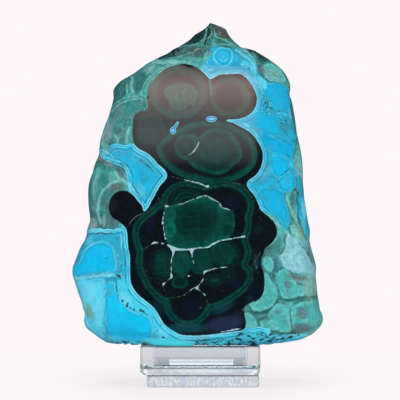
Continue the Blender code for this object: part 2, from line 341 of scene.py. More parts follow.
def stone_angles():
    """Angles of the grid's columns: even steps along the stone's outline at mid height, finest
    on the face and coarsest on the back."""
    fine = np.linspace(-math.pi, math.pi, TRIAL_ANGLES)
    reach = stone_reach(fine, np.full(fine.shape, MIDDLE_HEIGHT), [])
    x, y = reach * np.cos(fine), reach * np.sin(fine)
    step = np.where(y < FLANK_START, FRONT_STEP, np.where(y < BACK_START, FLANK_STEP, BACK_STEP))
    middle = (step[1:] + step[:-1]) / 2
    along = np.concatenate([[0], np.cumsum(np.hypot(np.diff(x), np.diff(y)) / middle)])
    count = int(along[-1])
    return np.interp(np.arange(count) / count * along[-1], along, fine)


def stone_grid(lump_list):
    """Angle, reach and level of the stone's points, rows from the middle of the underside out
    and up to the peak, columns round the stone."""
    angle = stone_angles()
    foot = stone_reach(angle, np.full(angle.shape, SEAT), lump_list)
    under = (np.arange(UNDERSIDE_ROWS) + 1) / (UNDERSIDE_ROWS + 1)
    crowded = np.sin(np.linspace(0, math.pi / 2, SIDE_ROWS)) ** CROWDING
    rise = (1 - CROWDED_ROWS) * np.linspace(0, 1, SIDE_ROWS) + CROWDED_ROWS * crowded
    heights = SEAT + (PEAK - SEAT) * rise
    angles, levels = np.meshgrid(angle, heights[:-1])
    side = stone_reach(angles, levels, lump_list)
    reach = np.concatenate([under[:, None] * foot[None], side])
    level = np.concatenate([np.full((UNDERSIDE_ROWS, len(angle)), SEAT), levels])
    return np.broadcast_to(angle, reach.shape), reach, level


def placed(angle, reach, level):
    """Points of the grid in space, with the overhanging right end of the underside lifted."""
    x = flowing(level, AXIS) + reach * np.cos(angle)
    fade = np.clip(1 - (level - SEAT) / OVERHANG_FADE, 0, 1)
    lift = OVERHANG_RISE * np.maximum(x - OVERHANG_START, 0) * fade
    return np.stack([x, reach * np.sin(angle), level + lift], axis=-1)


def chips(points, centres):
    """Shell-shaped chips: shallow scoops round random centres that bite in by up to their
    depth and meet in sharp ridges."""
    bite = np.zeros(points.shape[:-1])
    for centre in centres:
        away = ((points - centre) ** 2).sum(axis=-1) / CHIP_RADIUS**2
        bite = np.maximum(bite, CHIP_DEPTH * (1 - away))
    return bite


def worn(angle, reach, level):
    """Wear of the stone: how rough it is at each point, 0 to 1; its reach with chips and grain;
    how far its ragged hem is raised; and how deep the crevices are, 0 at their edge, a depth
    that the material turns into painted shade. The sawn underside, the broken rim below the
    face and the crown are rough."""
    spots = placed(angle, reach, level)
    x, y, z = np.moveaxis(spots, -1, 0)
    right = between(x, *RIM_RIGHT) * between(-y, *RIM_RIGHT_FRONT)
    left = RIM_LEFT_SHARE * between(-x, *RIM_LEFT) * between(-y, *RIM_LEFT_FRONT)
    top = RIM_TOP + RIM_RISE * between(x, *RIM_RISE_OVER)
    top = top - RIM_DROP * between(-x, *RIM_DROP_OVER)
    rim = np.maximum(right, left) * (1 - between(z - top, *RIM_FADE))
    under = 1 - between(level, SEAT, SEAT + SAWN_HEIGHT)
    crown = between(z, *CROWN_OVER)
    behind = between(y, *BEHIND_OVER)
    rough = np.maximum(rim, under) + CROWN_ROUGH * crown + BEHIND_ROUGH * behind
    rough = np.clip(rough, 0, 1)
    crust = np.clip(CRUST_MIDDLE + ripples(spots, CRUST_WAVES), 0, CRUST_MOST)
    chance = np.random.default_rng(CHIP_SEED)
    centres = chance.uniform(CHIP_LOW, CHIP_HIGH, (CHIP_COUNT, 3))
    bite = chips(spots, centres) * crown + crust * rim * CRUST_DEPTH
    bite = bite + rough * (GRAIN_DEPTH + ripples(spots, GRAIN_WAVES))
    hem = np.clip(HEM_MIDDLE + ripples(spots * (1, 1, 0), HEM_WAVES), 0, 1)
    raised = hem * np.maximum(right, left * between(x, *HEM_LEFT))
    raised = raised * (1 - between(level, SEAT, SEAT + HEM_HEIGHT))
    # the crevices' depth is what the material darkens: painted shade in the deepest hollows
    crevice = CREVICE_SLOPE * (crust - CREVICE_START)
    crevice = crevice + OUTSIDE * (1 - between(rim, *CREVICE_RIM))
    return rough, reach - bite, HEM_RISE * raised, crevice


# ---- drawing on the sheet ------------------------------------------------------------------
CURVE_STEPS = 4  # straight pieces in each span of a curve
OUTLINE_MARGIN = 8.0  # an outline's depth is followed this far outside it, in steps
OUTSIDE = -4.0  # a depth well outside any stroke
PATCH_EDGE = (0.55, 1.25)  # a soft patch fades out between these shares of its oval


def on_sheet(points):
    """Steps across and down the sheet at which each point is seen from the eye."""
    share = SHEET_DEPTH / (points[..., 1] - EYE[1])
    x = EYE[0] + (points[..., 0] - EYE[0]) * share
    z = EYE[2] + (points[..., 2] - EYE[2]) * share
    return np.stack([SHEET_LEFT + x / SHEET_UNIT, SHEET_FOOT - z / SHEET_UNIT], axis=-1)


def curve(knots, closed=True):
    """Points of a smooth curve through the knots (each span a Catmull-Rom cubic)."""
    knots = np.array(knots, float)
    if closed:
        before, after = np.roll(knots, 1, axis=0), np.roll(knots, -1, axis=0)
        beyond = np.roll(knots, -2, axis=0)
        start = knots
    else:
        padded = np.vstack([2 * knots[0] - knots[1], knots, 2 * knots[-1] - knots[-2]])
        before, start, after, beyond = padded[:-3], padded[1:-2], padded[2:-1], padded[3:]
    spans = []
    for t in np.arange(CURVE_STEPS) / CURVE_STEPS:
        a = -0.5 * t + t * t - 0.5 * t**3
        b = 1 - 2.5 * t * t + 1.5 * t**3
        c = 0.5 * t + 2 * t * t - 1.5 * t**3
        d = -0.5 * t * t + 0.5 * t**3
        spans.append(a * before + b * start + c * after + d * beyond)
    points = np.stack(spans, axis=1).reshape(-1, 2)
    return points if closed else np.vstack([points, knots[-1]])


def near(sheet, line, margin):
    """Which spots lie inside the line's bounds, widened by a margin."""
    low, high = line.min(axis=0) - margin, line.max(axis=0) + margin
    return np.all((sheet > low) & (sheet < high), axis=1)


def beside(spots, start, end):
    """Where each spot lies beside a straight piece, 0 at its start and 1 at its end, and how
    far off it is."""
    run = end - start
    share = np.clip((spots - start) @ run / max(run @ run, TINY), 0, 1)
    away = spots - start - share[:, None] * run
    return share, np.hypot(*away.T)


def outline_depth(sheet, knots, margin=OUTLINE_MARGIN):
    """Depth inside a smooth closed outline: positive inside, negative outside, down to minus
    the margin. A spot is inside where a line to its right crosses the outline an odd number
    of times."""
    line = curve(knots)
    chosen = near(sheet, line, margin)
    spots = sheet[chosen]
    inside = np.zeros(len(spots), bool)
    away = np.full(len(spots), np.inf)
    for start, end in zip(line, np.roll(line, -1, axis=0)):
        crosses = (spots[:, 1] < start[1]) != (spots[:, 1] < end[1])
        slant = (end[0] - start[0]) / ((end[1] - start[1]) or TINY)
        inside ^= crosses & (spots[:, 0] < start[0] + (spots[:, 1] - start[1]) * slant)
        away = np.minimum(away, beside(spots, start, end)[1])
    depth = np.full(len(sheet), -margin)
    depth[chosen] = np.where(inside, away, np.maximum(-away, -margin))
    return depth


def stroke_depth(sheet, knots, widths):
    """Depth inside a smooth stroke whose half width runs evenly from the first to the last of
    the given widths along it."""
    line = curve(knots, closed=False)
    chosen = near(sheet, line, -OUTSIDE)
    spots = sheet[chosen]
    half = np.interp(np.linspace(0, 1, len(line)), np.linspace(0, 1, len(widths)), widths)
    best = np.full(len(spots), OUTSIDE)
    for i in range(len(line) - 1):
        share, away = beside(spots, line[i], line[i + 1])
        best = np.maximum(best, half[i] + (half[i + 1] - half[i]) * share - away)
    depth = np.full(len(sheet), OUTSIDE)
    depth[chosen] = best
    return depth


def strokes(sheet, drawn):
    """Depth inside the nearest of a set of strokes."""
    return np.max([stroke_depth(sheet, *stroke) for stroke in drawn], axis=0)


def in_oval(sheet, x, y, wide, tall, tilt):
    """How far each spot lies along and across a tilted oval, as shares of its half sizes."""
    turn = math.radians(tilt)
    dx, dy = sheet[:, 0] - x, sheet[:, 1] - y
    along = (dx * math.cos(turn) + dy * math.sin(turn)) / wide
    across = (dy * math.cos(turn) - dx * math.sin(turn)) / tall
    return along, across


def oval_depth(sheet, x, y, wide, tall, tilt):
    """Depth inside an oval, to first order: its level over the slope of that level."""
    along, across = in_oval(sheet, x, y, wide, tall, tilt)
    level = np.hypot(along, across) + TINY
    slope = np.hypot(along / wide, across / tall) + TINY
    return (1 - level) * level / slope


def patch(sheet, *oval):
    """A soft patch: 1 in the middle of an oval and 0 well outside it."""
    return 1 - between(np.hypot(*in_oval(sheet, *oval)), *PATCH_EDGE)


# ---- the stone's markings, in steps on the sheet -------------------------------------------
DARK_OUTLINE = [
    (147, 100), (149, 88), (156, 77), (167, 68), (183, 64), (196, 67), (205, 74), (210, 79),
    (214, 77.5), (220, 74.5), (232, 74), (241, 74), (249, 81), (255, 91), (257, 100), (254, 110),
    (247, 116), (238, 119), (229, 119.5), (226, 121), (233, 123), (243, 128), (252, 134),
    (258, 142), (262, 150), (263, 158), (261, 167), (256, 175), (249, 180), (247, 184),
    (248, 188), (254, 195), (258, 203), (261, 210), (268, 216), (274, 222), (277, 229),
    (276, 237), (271, 244), (266, 248), (262.5, 255), (261, 263), (262.5, 269), (264, 274),
    (264.5, 284), (263.5, 292), (259, 299.5), (250, 303), (244, 309), (245, 316), (246, 324),
    (243, 330), (230, 332), (215, 334), (200, 335.5), (190, 335.5), (180, 334.5), (172, 330),
    (164, 324), (157, 312), (151, 305), (142, 298), (135, 291), (131, 283), (130, 272),
    (130, 258), (128, 246), (127, 232), (124, 226), (118, 221), (112, 217), (109, 210),
    (109, 203), (112, 196), (118, 191.5), (126, 191), (133, 195), (138, 201), (142, 206),
    (144, 211.5), (148, 208), (151, 202), (156, 193), (160, 186), (166, 179), (167, 174),
    (164, 169), (158, 164), (152, 157), (146, 152.5), (139, 149), (134, 143), (132.5, 132),
    (133, 122), (135, 115), (140, 111), (146, 110), (148, 106),
]
# Centre line of the scalloped double band round the lower malachite.
SCALLOPS = [
    (164, 203), (166, 196), (171, 190), (178, 186), (187, 184), (196, 185), (205, 187.5),
    (214, 185), (226, 184), (236, 186), (243, 190.5), (248, 196), (250.5, 203), (250, 211),
    (248, 217), (248.5, 225), (247, 232), (244.5, 237.5), (246, 244), (248, 251), (247, 258),
    (244, 264.5), (249, 270), (250, 277), (248, 283), (243, 289), (236, 294.5), (229, 299),
    (222, 303), (215, 306), (210, 306.5), (206, 313), (200, 319.5), (193, 323.5), (185, 324),
    (177, 320.5), (170.5, 314), (168, 307), (166.5, 301), (162, 299.5), (155, 293.5), (149, 287),
    (145.5, 280), (141.5, 272), (139.5, 263), (140, 255), (140, 249.5), (137, 242), (136, 234),
    (137.5, 226), (142, 219.5), (149, 214.5), (156, 208), (161, 205),
]
SCALLOP_LIGHT = [
    (-3.6, 0), (-2.6, 0.5), (-1.5, 0.6), (-0.3, 0.26), (0.8, 0.56), (1.7, 0.6), (2.8, 0.22),
    (3.8, 0.04), (6, 0),
]
HEART = [
    (165, 207), (178, 204), (190, 200.5), (206, 196), (219, 202.5), (222, 207.5), (232, 211),
    (235, 220), (234, 229), (230, 237), (221, 240.5), (207, 246.5), (190, 249.5), (172, 246.5),
    (166, 239), (163.5, 223), (164.5, 212),
]
HEART_LIGHT = [(0, 0.6), (1, 0.78), (3, 0.66), (6, 0.56), (10, 0.5), (22, 0.46)]
UPPER_RING = [
    (156, 150), (158, 143), (163, 138), (169, 133), (180, 127), (192, 122), (205, 120.5),
    (216, 120.5), (228, 123), (240, 128.5), (250, 136), (256, 145), (258, 154), (256, 164),
    (250, 172), (241, 178), (230, 182.5), (218, 185.5), (206, 184), (196, 181), (186, 179),
    (176, 175), (168, 169), (161, 161),
]
UPPER_RING_LIGHT = [(0, 0.1), (1.2, 0.6), (4, 0.58), (6, 0.45), (7.5, 0.12), (9, 0), (15, 0)]
UPPER_CORE = [
    (173.5, 147), (175, 140), (180, 135), (187, 133.5), (194, 134), (199, 136.5), (203, 132.5),
    (209, 128.5), (217, 127.5), (226, 129), (233, 133), (236.5, 139), (240.5, 145), (243, 152),
    (242, 159), (237, 163.5), (233, 167), (228, 172), (220, 175), (211, 174.5), (203, 172),
    (195, 169), (190, 165), (187.5, 161), (182, 160), (176.5, 155),
]
UPPER_CORE_LIGHT = [
    (0, 0.08), (0.8, 0.5), (2.2, 0.66), (4, 0.5), (6.5, 0.3), (10, 0.32), (14, 0.46), (25, 0.5),
]
LEFT_CORE = [
    (163.5, 93), (165, 88), (170, 84.5), (176, 82), (183, 82), (190, 84), (196, 87.5),
    (198.5, 94), (198.5, 101), (196, 106), (191, 107), (188.5, 105.5), (186, 109), (180, 111.5),
    (173, 110.5), (169.5, 106), (168, 101), (165, 98),
]
LEFT_CORE_LIGHT = [(0, 0.15), (1, 0.5), (2.5, 0.62), (5, 0.54), (8, 0.6), (16, 0.6)]
# Growth shells of the malachite, the later over the earlier: the oval's middle, half sizes and
# tilt, then how light it is, as (depth, light).
SHELLS_ABOVE = [
    ((178.5, 92.5, 32.5, 29.5, 0), [(0, 0), (2.5, 0.05), (4, 0.5), (9, 0.5), (12, 0.25),
     (13.5, 0), (30, 0)]),
    ((229.5, 97, 21, 20.5, 0), [(0, 0.1), (1, 0.5), (5.5, 0.45), (7.5, 0.08), (21, 0)]),
    ((210.3, 87, 1.5, 11, -3), [(0, 0.5), (1, 1.1)]),
    ((152, 129, 14.5, 16.5, 0), [(0, 0), (1.2, 0.3), (2.5, 0.32), (4, 0.2), (7, 0.26),
     (16, 0.34)]),
    ((147.5, 135.5, 9, 9, 0), [(0, 0.2), (1, 0.4), (2.5, 0.28), (4, 0.32), (9, 0.26)]),
]
CORE_LOBES = [
    ((185, 146.5, 12.5, 12, 0), [(0, 0.3), (1, 0.52), (2.5, 0.52), (4, 0.34), (8, 0.34),
     (12, 0.45)]),
    ((171, 93, 7.5, 7.5, 0), [(0, 0.5), (0.8, 0.74), (7, 0.7)]),
    ((180, 104.5, 10.5, 6.5, 0), [(0, 0.5), (0.8, 0.76), (2, 0.64), (6, 0.68)]),
    ((190, 95.5, 8, 8, 0), [(0, 0.55), (0.8, 0.84), (2, 0.7), (4.5, 0.6), (7, 0.72)]),
]
SHELLS_BELOW = [
    ((188, 204, 20, 18, 0), [(0, 0), (1, 0.1), (3, 0.34), (4.5, 0.12), (6.4, 0.5), (8.4, 0.16),
     (10.5, 0.4), (13, 0.2), (18, 0.1)]),
    ((163, 264.5, 14, 17, 0), [(0, 0), (1.6, 0.3), (3, 0.05), (4.6, 0.44), (6, 0.24), (7.6, 0.5),
     (9, 0.28), (10.5, 0.46), (14, 0.42)]),
    ((180, 282, 9.5, 7.5, 0), [(0, 0), (1.2, 0.46), (3, 0.44), (4.6, 0.22), (8, 0.18)]),
    ((222, 254, 19, 17, 0), [(0, 0.02), (1.4, 0.26), (3, 0.04), (4.4, 0.34), (5.4, 0.24),
     (7, 0.48), (10, 0.4), (17, 0.48)]),
    ((201, 261.5, 12, 13, 0), [(0, 0.3), (1, 0.44), (12, 0.46)]),
    ((181.5, 263, 10, 14.5, 0), [(0, 0.2), (0.8, 0.52), (4, 0.55), (14, 0.5)]),
    ((214, 280, 10, 8, 0), [(0, 0), (2, 0.3), (4, 0.2), (6, 0.44), (8, 0.5)]),
    ((229, 276, 9, 9, 0), [(0, 0), (3, 0.26), (5, 0.14), (8, 0.36)]),
    ((258, 229, 7, 6, 0), [(0, 0), (3, 0.18), (6, 0.24)]),
]
HEART_LOBES = [
    ((195, 221, 25, 20, 0), [(0, 0.5), (4, 0.44), (8, 0.34), (9.5, 0.4), (12, 0.3), (20, 0.28)]),
    ((227, 217, 7.5, 8, 0), [(0, 0.44), (1, 0.62), (3, 0.52), (8, 0.48)]),
    ((227.5, 228.5, 6, 7, 0), [(0, 0.6), (1.2, 0.4), (2.4, 0.5), (4, 0.36), (7, 0.34)]),
    ((170, 216, 6.5, 7, 0), [(0, 0.5), (1, 0.74), (3, 0.72), (7, 0.6)]),
    ((169.5, 230, 7, 8, 0), [(0, 0.5), (1, 0.85), (3, 0.82), (8, 0.68)]),
]
SCALLOP_START = -3.4  # the scalloped band starts this far outside its centre line
HEART_BORDER = 0.4  # width of the heart's border, which its lobes leave free
SHELL_BENDS = [[(1.1, 5 * MM, 61)], [(1.1, 5 * MM, 62)]]  # how ovals stray, across and down
SCALLOP_MARGIN = 6
CORE_MARGIN = 2

# Outlines of the blue stone.
TONGUE = [
    (101, 149), (106, 150.5), (110, 146), (116, 143.5), (124, 145), (131, 143.5), (137, 147),
    (144, 151), (150, 155.5), (156, 162), (163, 168.5), (167, 175), (165, 181), (160, 186.5),
    (156, 194), (151, 202), (147, 209), (144, 211.5), (142, 206), (137, 201), (132, 194),
    (128, 186), (127.5, 177), (125, 170), (118, 165), (110, 162), (104, 159), (99, 154),
]
LEFT_BLUE = [
    (80, 236), (86, 231), (92, 229), (100, 228.5), (112, 229.5), (120, 228), (125, 227),
    (129, 240), (133, 258), (133, 270), (136, 284), (144, 296), (154, 303), (161, 314),
    (168, 324), (176, 331), (190, 333), (215, 331), (243, 328.5), (250, 328), (262, 327),
    (270, 330.5), (272, 334), (290, 334), (303, 334.5), (311, 336), (311, 352), (200, 356),
    (60, 352), (58, 250),
]
RIGHT_BLUE = [
    (210, 49), (214, 47), (222, 46.5), (230, 48.5), (237, 49), (243, 52), (250, 57), (255, 62),
    (257, 70), (259, 76), (264, 79), (270, 82), (279, 84), (285, 86), (290, 92), (290, 105),
    (292, 120), (294, 130), (296, 138), (294, 150), (293, 160), (296, 172), (297, 180),
    (295, 187), (290, 192), (285, 194), (286, 203), (289, 212), (290, 222), (288, 228),
    (284, 229), (280, 224), (273, 216), (266, 212.5), (259, 212), (254, 203), (250, 196),
    (244, 188), (243, 184), (248, 178), (254, 173), (258, 165), (259, 158), (258, 150),
    (254, 142), (248, 135), (240, 129), (230, 124.5), (226, 121), (229, 118), (238, 117),
    (246, 113), (251, 108), (253, 100), (251, 91), (245, 83), (238, 77), (230, 77), (220, 78),
    (214, 80), (208, 80), (204, 76), (201, 70), (204, 64), (208, 60), (212, 54),
]
RIDGE_BLUE = [
    (298, 176), (301, 178), (304, 190), (306, 200), (308, 214), (311, 230), (309, 241),
    (305, 232), (301, 222), (298, 212), (296, 206), (299, 195), (298, 185),
]
# Blue eyes in the malachite, as ovals, and the tail of one of them, as a stroke.
EYES = [(211.5, 119, 5.4, 2.9, 0), (173, 130.5, 3.1, 3.6, 0)]
EYE_TAIL = ([(173.5, 129), (175.8, 125.6), (178, 122.4)], (1.9, 1))

# Lobes of pale malachite at the lower right, how light they are, and the dark spots in them.
PALE_LOBES = [
    [(262, 260), (266, 256), (271, 257), (274, 263), (273, 270), (269, 272.5), (265, 269)],
    [(263, 273), (268, 275), (272, 281), (276, 288), (278, 294), (276, 301), (271, 307),
     (264, 310.5), (256, 311), (250, 307), (250, 303), (258, 300), (263, 293), (264, 284)],
    [(278, 271), (286, 269), (290, 274), (294, 280), (300, 285), (308, 288), (312, 292),
     (305, 295), (297, 297), (288, 299), (281, 297), (277, 288), (274, 279)],
    [(270, 309), (277, 304), (284, 304.5), (289, 311), (290, 320), (291, 332), (280, 332),
     (274, 326), (268, 318)],
    [(292, 308), (299, 303), (308, 301), (322, 300), (326, 315), (324, 326), (310, 334),
     (298, 334), (293, 328), (291, 318)],
    [(244, 313), (251, 314), (256, 319), (257, 327), (246, 328), (244, 322)],
    [(261, 321), (267, 319), (272, 323), (279, 330), (268, 330), (261, 328)],
    [(290, 226), (295, 225), (301, 233), (307, 243), (308, 253), (301, 245), (293, 237)],
    [(286, 193), (292, 190), (297, 194), (296, 205), (298, 216), (297, 224), (291, 213),
     (287, 203)],
    [(261, 66), (268, 63), (277, 66), (284, 74), (286, 81), (277, 82), (268, 80), (262, 73)],
]
LOBE_LIGHT = [(-2.2, 0.4), (-0.7, 0.3), (0, 0.5), (0.8, 0.86), (2.2, 0.74), (5, 0.68), (12, 0.74)]
LOBE_SPOTS = [
    (287.5, 284.5, 3, 5, 0), (288, 291, 1.6, 2.4, 0), (278, 312, 4, 2.4, 0),
    (302, 313, 6, 6.5, 0), (304, 328, 10, 5, 0), (261, 69, 3, 4, 30),
]
# Icy patch above the lobes, black hollows round the summit, and its brown facet. The hollows'
# black is partly the dark malachite and partly painted shade and dark reflection on the facets.
ICE = [
    (287, 231), (292, 236), (300, 243), (306, 251), (311, 258), (316, 268), (316, 275),
    (305, 273), (296, 273), (289, 270), (284, 268), (281, 262), (279, 256), (284, 252),
    (284, 243), (285, 236),
]
SUMMIT = [
    [(183, 40), (188, 35), (196, 28), (203, 24), (206, 31), (204.6, 36), (203, 40.6),
     (196, 43.6), (189, 45), (184, 44)],
    [(156, 60), (161, 55), (167, 51), (172, 46.5), (180, 42), (184, 47), (181, 50.5),
     (176.6, 52.6), (175.6, 56.8), (170, 58.6), (163, 58.6)],
    [(205, 22), (213, 22), (214, 30), (213.5, 38), (210, 40), (207, 45), (203, 45), (205.5, 38),
     (207, 30)],
    [(245, 46), (252, 47), (262, 49), (268, 54), (272, 60), (264, 61), (258, 60), (259, 57),
     (254, 53), (247, 51)],
]
BROWN_FACET = [
    (214, 24), (219, 25), (225, 29), (230, 34), (229, 38), (225, 40), (218, 36.6), (215, 32),
]

# Pale healed cracks, the last of them a painted highlight along the malachite's lower edge:
# knots along each, and its half widths from end to end.
PALE_VEINS_AND_GLINT = [
    ([(166, 206), (171, 206), (178, 204.4), (183, 203.6), (190, 200.5), (200, 197), (206, 195.8),
     (212, 199), (219, 202.5), (222, 207.4), (227, 209), (233, 211.5)],
     (1.2, 0, 0.25, 0.3, 0.2, 0.35, 0.5, 0.6, 0.55, 0.45, 0.6, 0.5, 0.3)),
    ([(165, 209), (163.5, 216), (162.8, 221), (162.6, 223), (163, 225), (164, 231),
     (165.5, 239)],
     (0.3, 0.35, 0.4, 1.2, 0.45, 0.4, 0.65)),
    ([(168, 245), (174, 248.5), (181, 249.5), (188, 249.5), (192, 250), (197, 248), (207, 247.5),
     (213, 244), (221, 240.5), (230, 239), (238, 237.5), (244.5, 236.5)],
     (0.8, 1.8, 0.9, 0.7, 1.1, 0.5, 0.6, 0.75, 0.55, 0.5, 0.5, 0.8)),
    ([(191.5, 250), (191.8, 254), (193, 260), (194, 264)], (2, 0.7, 0.1, 0.5)),
    ([(172.5, 249), (173.4, 253), (172, 258), (171, 264), (171.5, 271), (171.5, 277)],
     (1.9, 0.8, 0.35, 0.4, 0.2, 1.2)),
    ([(171, 278), (167, 281), (163, 284.5)], (0.5, 0.05, 0.9)),
    ([(197, 288), (200, 283.5), (203, 279.6), (203.5, 275.6), (204.5, 272), (210, 270),
     (215, 268.5), (222, 267.6), (230, 266.5), (238, 265)],
     (0.9, 0.05, 0.6, 0, 1, 0.4, 0.45, 0.4, 0.15, 0)),
    ([(190, 290.5), (194, 288), (197, 288.5), (201, 291.5), (205, 295)],
     (0.3, 0.4, 0.9, 0.1, 0.6)),
    ([(152, 243.8), (155, 242.5), (158.6, 243)], (0.4, 0.9, 0.2)),
    ([(161.6, 243.4), (163.4, 243.6)], (0.7, 0.6)),
    ([(184, 179.6), (192, 181.5), (200, 183.5), (205, 186), (208, 186.3)],
     (0.3, 0.5, 0.7, 0.6, 1.3)),
    ([(187, 156), (192, 153), (195.5, 149), (198, 145), (199, 142)], (0.1, 0.3, 0.5, 0.7, 0.6)),
    ([(188, 276), (189.5, 276)], (0.8, 0.7)),
    ([(184, 295), (185, 294.6)], (0.6, 0.4)),
    ([(223, 291), (224, 290.6)], (0.5, 0.3)),
    ([(200.5, 307), (201, 308)], (0.5, 0.4)),
    # painted highlight: the glint along the malachite's lower edge
    ([(219, 332.4), (228, 330.8), (236, 329.4), (242, 328.2)], (0.1, 0.6, 0.8, 0.2)),
]
FAINT_VEINS = [
    ([(163, 285), (165, 292), (170, 297.5), (177, 297), (184, 295), (190, 290.5)],
     (0.4, 0.3, 0.35)),
    ([(205, 295), (206.5, 300), (208, 304)], (0.4, 0.4)),
    ([(145, 248.5), (152, 244), (160, 243.4)], (0.3, 0.4)),
    ([(145, 262), (148, 275), (155, 282), (163, 284.5)], (0.1, 0.35, 0.3)),
    ([(170, 176), (177, 178), (184, 180)], (0.4, 0.4)),
    ([(127, 227), (131, 221.5), (136, 216.5), (142, 213.6), (149, 212)], (0.3, 0.6, 0.3)),
    ([(158, 197), (160, 202), (165, 206)], (0.3, 0.3)),
    ([(179, 158.5), (187, 156)], (0.2, 0.3)),
    ([(261, 252), (257, 258), (254.5, 262.5), (257, 268), (258, 276)], (0.3, 0.4, 0.6, 0.6, 0.3)),
    ([(228, 184), (238, 183.5), (247, 186.5)], (0.3, 0.3)),
    ([(258, 212), (260, 217), (262, 222)], (0.2, 0.3, 0.2)),
    ([(241, 311), (246, 306), (252, 303)], (0.3, 0.5, 0.4)),
    ([(200, 184), (206, 190), (206.5, 196)], (0.2, 0.3)),
]
# Pale lines and dark lines in the blue and green stone beside the malachite.
PALE_LINES = [
    ([(76, 278.5), (85, 277.5), (100, 275.5), (112, 275), (121, 275)], (1.6, 1.2, 1.8, 1.2)),
    ([(219.2, 57), (220.4, 54), (223.4, 52.8), (226.4, 54), (227.4, 57), (226, 60), (223, 61),
     (220.4, 60), (219.2, 57)],
     (0.3, 0.1, 0.4, 0.3)),
    ([(222, 57), (223.6, 56), (225, 57.4)], (0.2, 0.3)),
    ([(204, 63), (206, 68), (210, 70), (214, 68)], (0.6, 0.9, 0.3)),
    ([(207, 59), (208, 64), (212, 66)], (0.4, 0.5)),
    ([(205, 75), (211, 78.6), (216, 76), (222, 74.6), (240, 74)], (0.8, 0.9, 0.5)),
    ([(236, 50), (243, 55), (250, 60), (254, 68), (256, 80), (262, 92), (266, 101)],
     (0.7, 1.2, 0.7, 0.9, 0.4)),
    ([(244, 123.5), (250, 127), (256, 133), (259, 139)], (0.7, 0.3, 0.8, 0.2)),
    ([(276, 113), (281, 113.4), (287, 115)], (0.4, 0.5, 0.2)),
    ([(103, 150), (108, 153), (113, 158), (121, 162.5), (127, 168)], (0.7, 0.6, 0.9)),
    ([(132, 77), (131, 84.5), (132.3, 90), (134.5, 95)], (1.2, 1.4, 0.9)),
    ([(126.5, 85), (127, 91), (129.5, 97)], (0.8, 0.9, 0.7)),
    ([(112, 107), (117, 102.4), (124, 98.6), (130, 97), (137, 96), (142, 95.6)],
     (0.5, 0.6, 0.5, 0.4)),
    ([(111, 112), (116, 106.6), (122, 102.6), (129, 100.2), (136, 98.8), (142, 98.6)],
     (0.7, 1.1, 0.9, 0.6)),
    ([(141.4, 99), (142, 90), (146, 82.4), (152.7, 75), (161.8, 67.6), (171, 64), (182, 61),
     (192, 62.6), (199, 66.4)],
     (0.4, 0.6, 0.5, 0.7, 0.4, 0.3)),
    ([(147.4, 109), (147, 101), (144.8, 97), (145.4, 91), (148.4, 83.4), (155, 76), (164, 68.4),
     (174, 64.4), (185, 62.6), (196, 66)],
     (0.5, 0.4, 0.7, 0.6, 0.4)),
    ([(141.4, 99), (142, 104), (145, 109.6)], (0.4, 0.5, 0.3)),
    ([(153, 63), (158, 61), (162, 63), (166, 62), (172, 61), (178, 61.5)],
     (1.6, 2.4, 1.2, 2, 0.6)),
    ([(166, 58), (178, 57), (187, 54), (193, 53)], (0.4, 0.6, 0.4)),
    ([(206.5, 29), (205.5, 36), (201, 41), (194, 44.5), (184, 46.4), (174, 48)],
     (0.4, 0.5, 0.4, 0.3)),
    ([(211, 25), (211.6, 33), (208.4, 39), (206, 44)], (0.3, 0.5, 0.3)),
    ([(213.4, 27), (214.6, 33), (217, 36.8), (225, 40), (231, 43.6), (238, 47)],
     (0.3, 0.35, 0.5, 0.3)),
    ([(176, 51), (175.4, 55)], (0.4, 0.3)),
    ([(212, 46), (217, 44.4), (226, 44.6), (233, 45.6)], (0.3, 0.4, 0.3)),
    ([(227, 31), (233, 38), (241, 46), (250, 55), (256, 62)], (0.6, 0.8, 1, 0.5)),
    ([(192, 55), (194.5, 50.4), (199, 48.6), (203, 51)], (0.3, 0.3)),
    ([(207, 47), (207, 53), (203.5, 59)], (0.3, 0.5)),
    ([(110, 112), (108, 122), (104, 133), (102, 145)], (0.7, 0.5, 0.9)),
    ([(130, 127), (127.6, 133), (127, 142)], (0.9, 1.3, 1)),
    ([(115, 135), (117.6, 138), (117.6, 142.6)], (0.7, 0.5)),
    ([(108, 130), (108.4, 136), (112, 139), (116, 136)], (0.3, 0.4, 0.3)),
    ([(100, 168), (96, 178), (93, 188), (94, 200)], (0.5, 0.9, 0.5)),
    ([(121, 180), (112, 183), (104, 190), (99, 200), (98, 212), (101, 224)],
     (1.4, 1, 1.2, 1.6, 0.9)),
    ([(115, 171), (119, 178), (128, 183), (134, 191)], (1, 1.6, 1)),
    ([(104, 214), (105, 220), (104, 227)], (0.5, 0.4)),
    ([(121, 221), (124, 226)], (0.9, 0.8)),
    ([(284, 247), (292, 244), (300, 247)], (0.5, 0.3)),
    ([(283, 256), (290, 252), (300, 252.5), (307, 257)], (0.8, 0.7, 0.4)),
    ([(291, 262), (298, 265), (305, 271)], (0.3, 0.6)),
    ([(286, 196), (289, 205), (293, 214), (297, 223), (303, 234), (308, 246)],
     (0.4, 0.6, 0.5, 0.4)),
    ([(294, 212), (298, 221), (304, 231), (308, 241)], (0.3, 0.5, 0.3)),
    ([(290, 226), (295, 234), (301, 243), (306, 251)], (0.4, 0.5, 0.3)),
    ([(284, 262), (290, 258), (297, 259), (304, 264), (309, 270)], (0.4, 0.6, 0.5, 0.3)),
    ([(263, 214), (271, 219), (278, 226), (281, 232)], (0.5, 1.2, 0.6)),
    ([(276, 238), (271, 244), (264, 249)], (1.2, 0.9, 0.5)),
    ([(180, 336.6), (195, 337.6), (215, 335.6), (240, 331)], (0.5, 0.9, 0.5)),
]
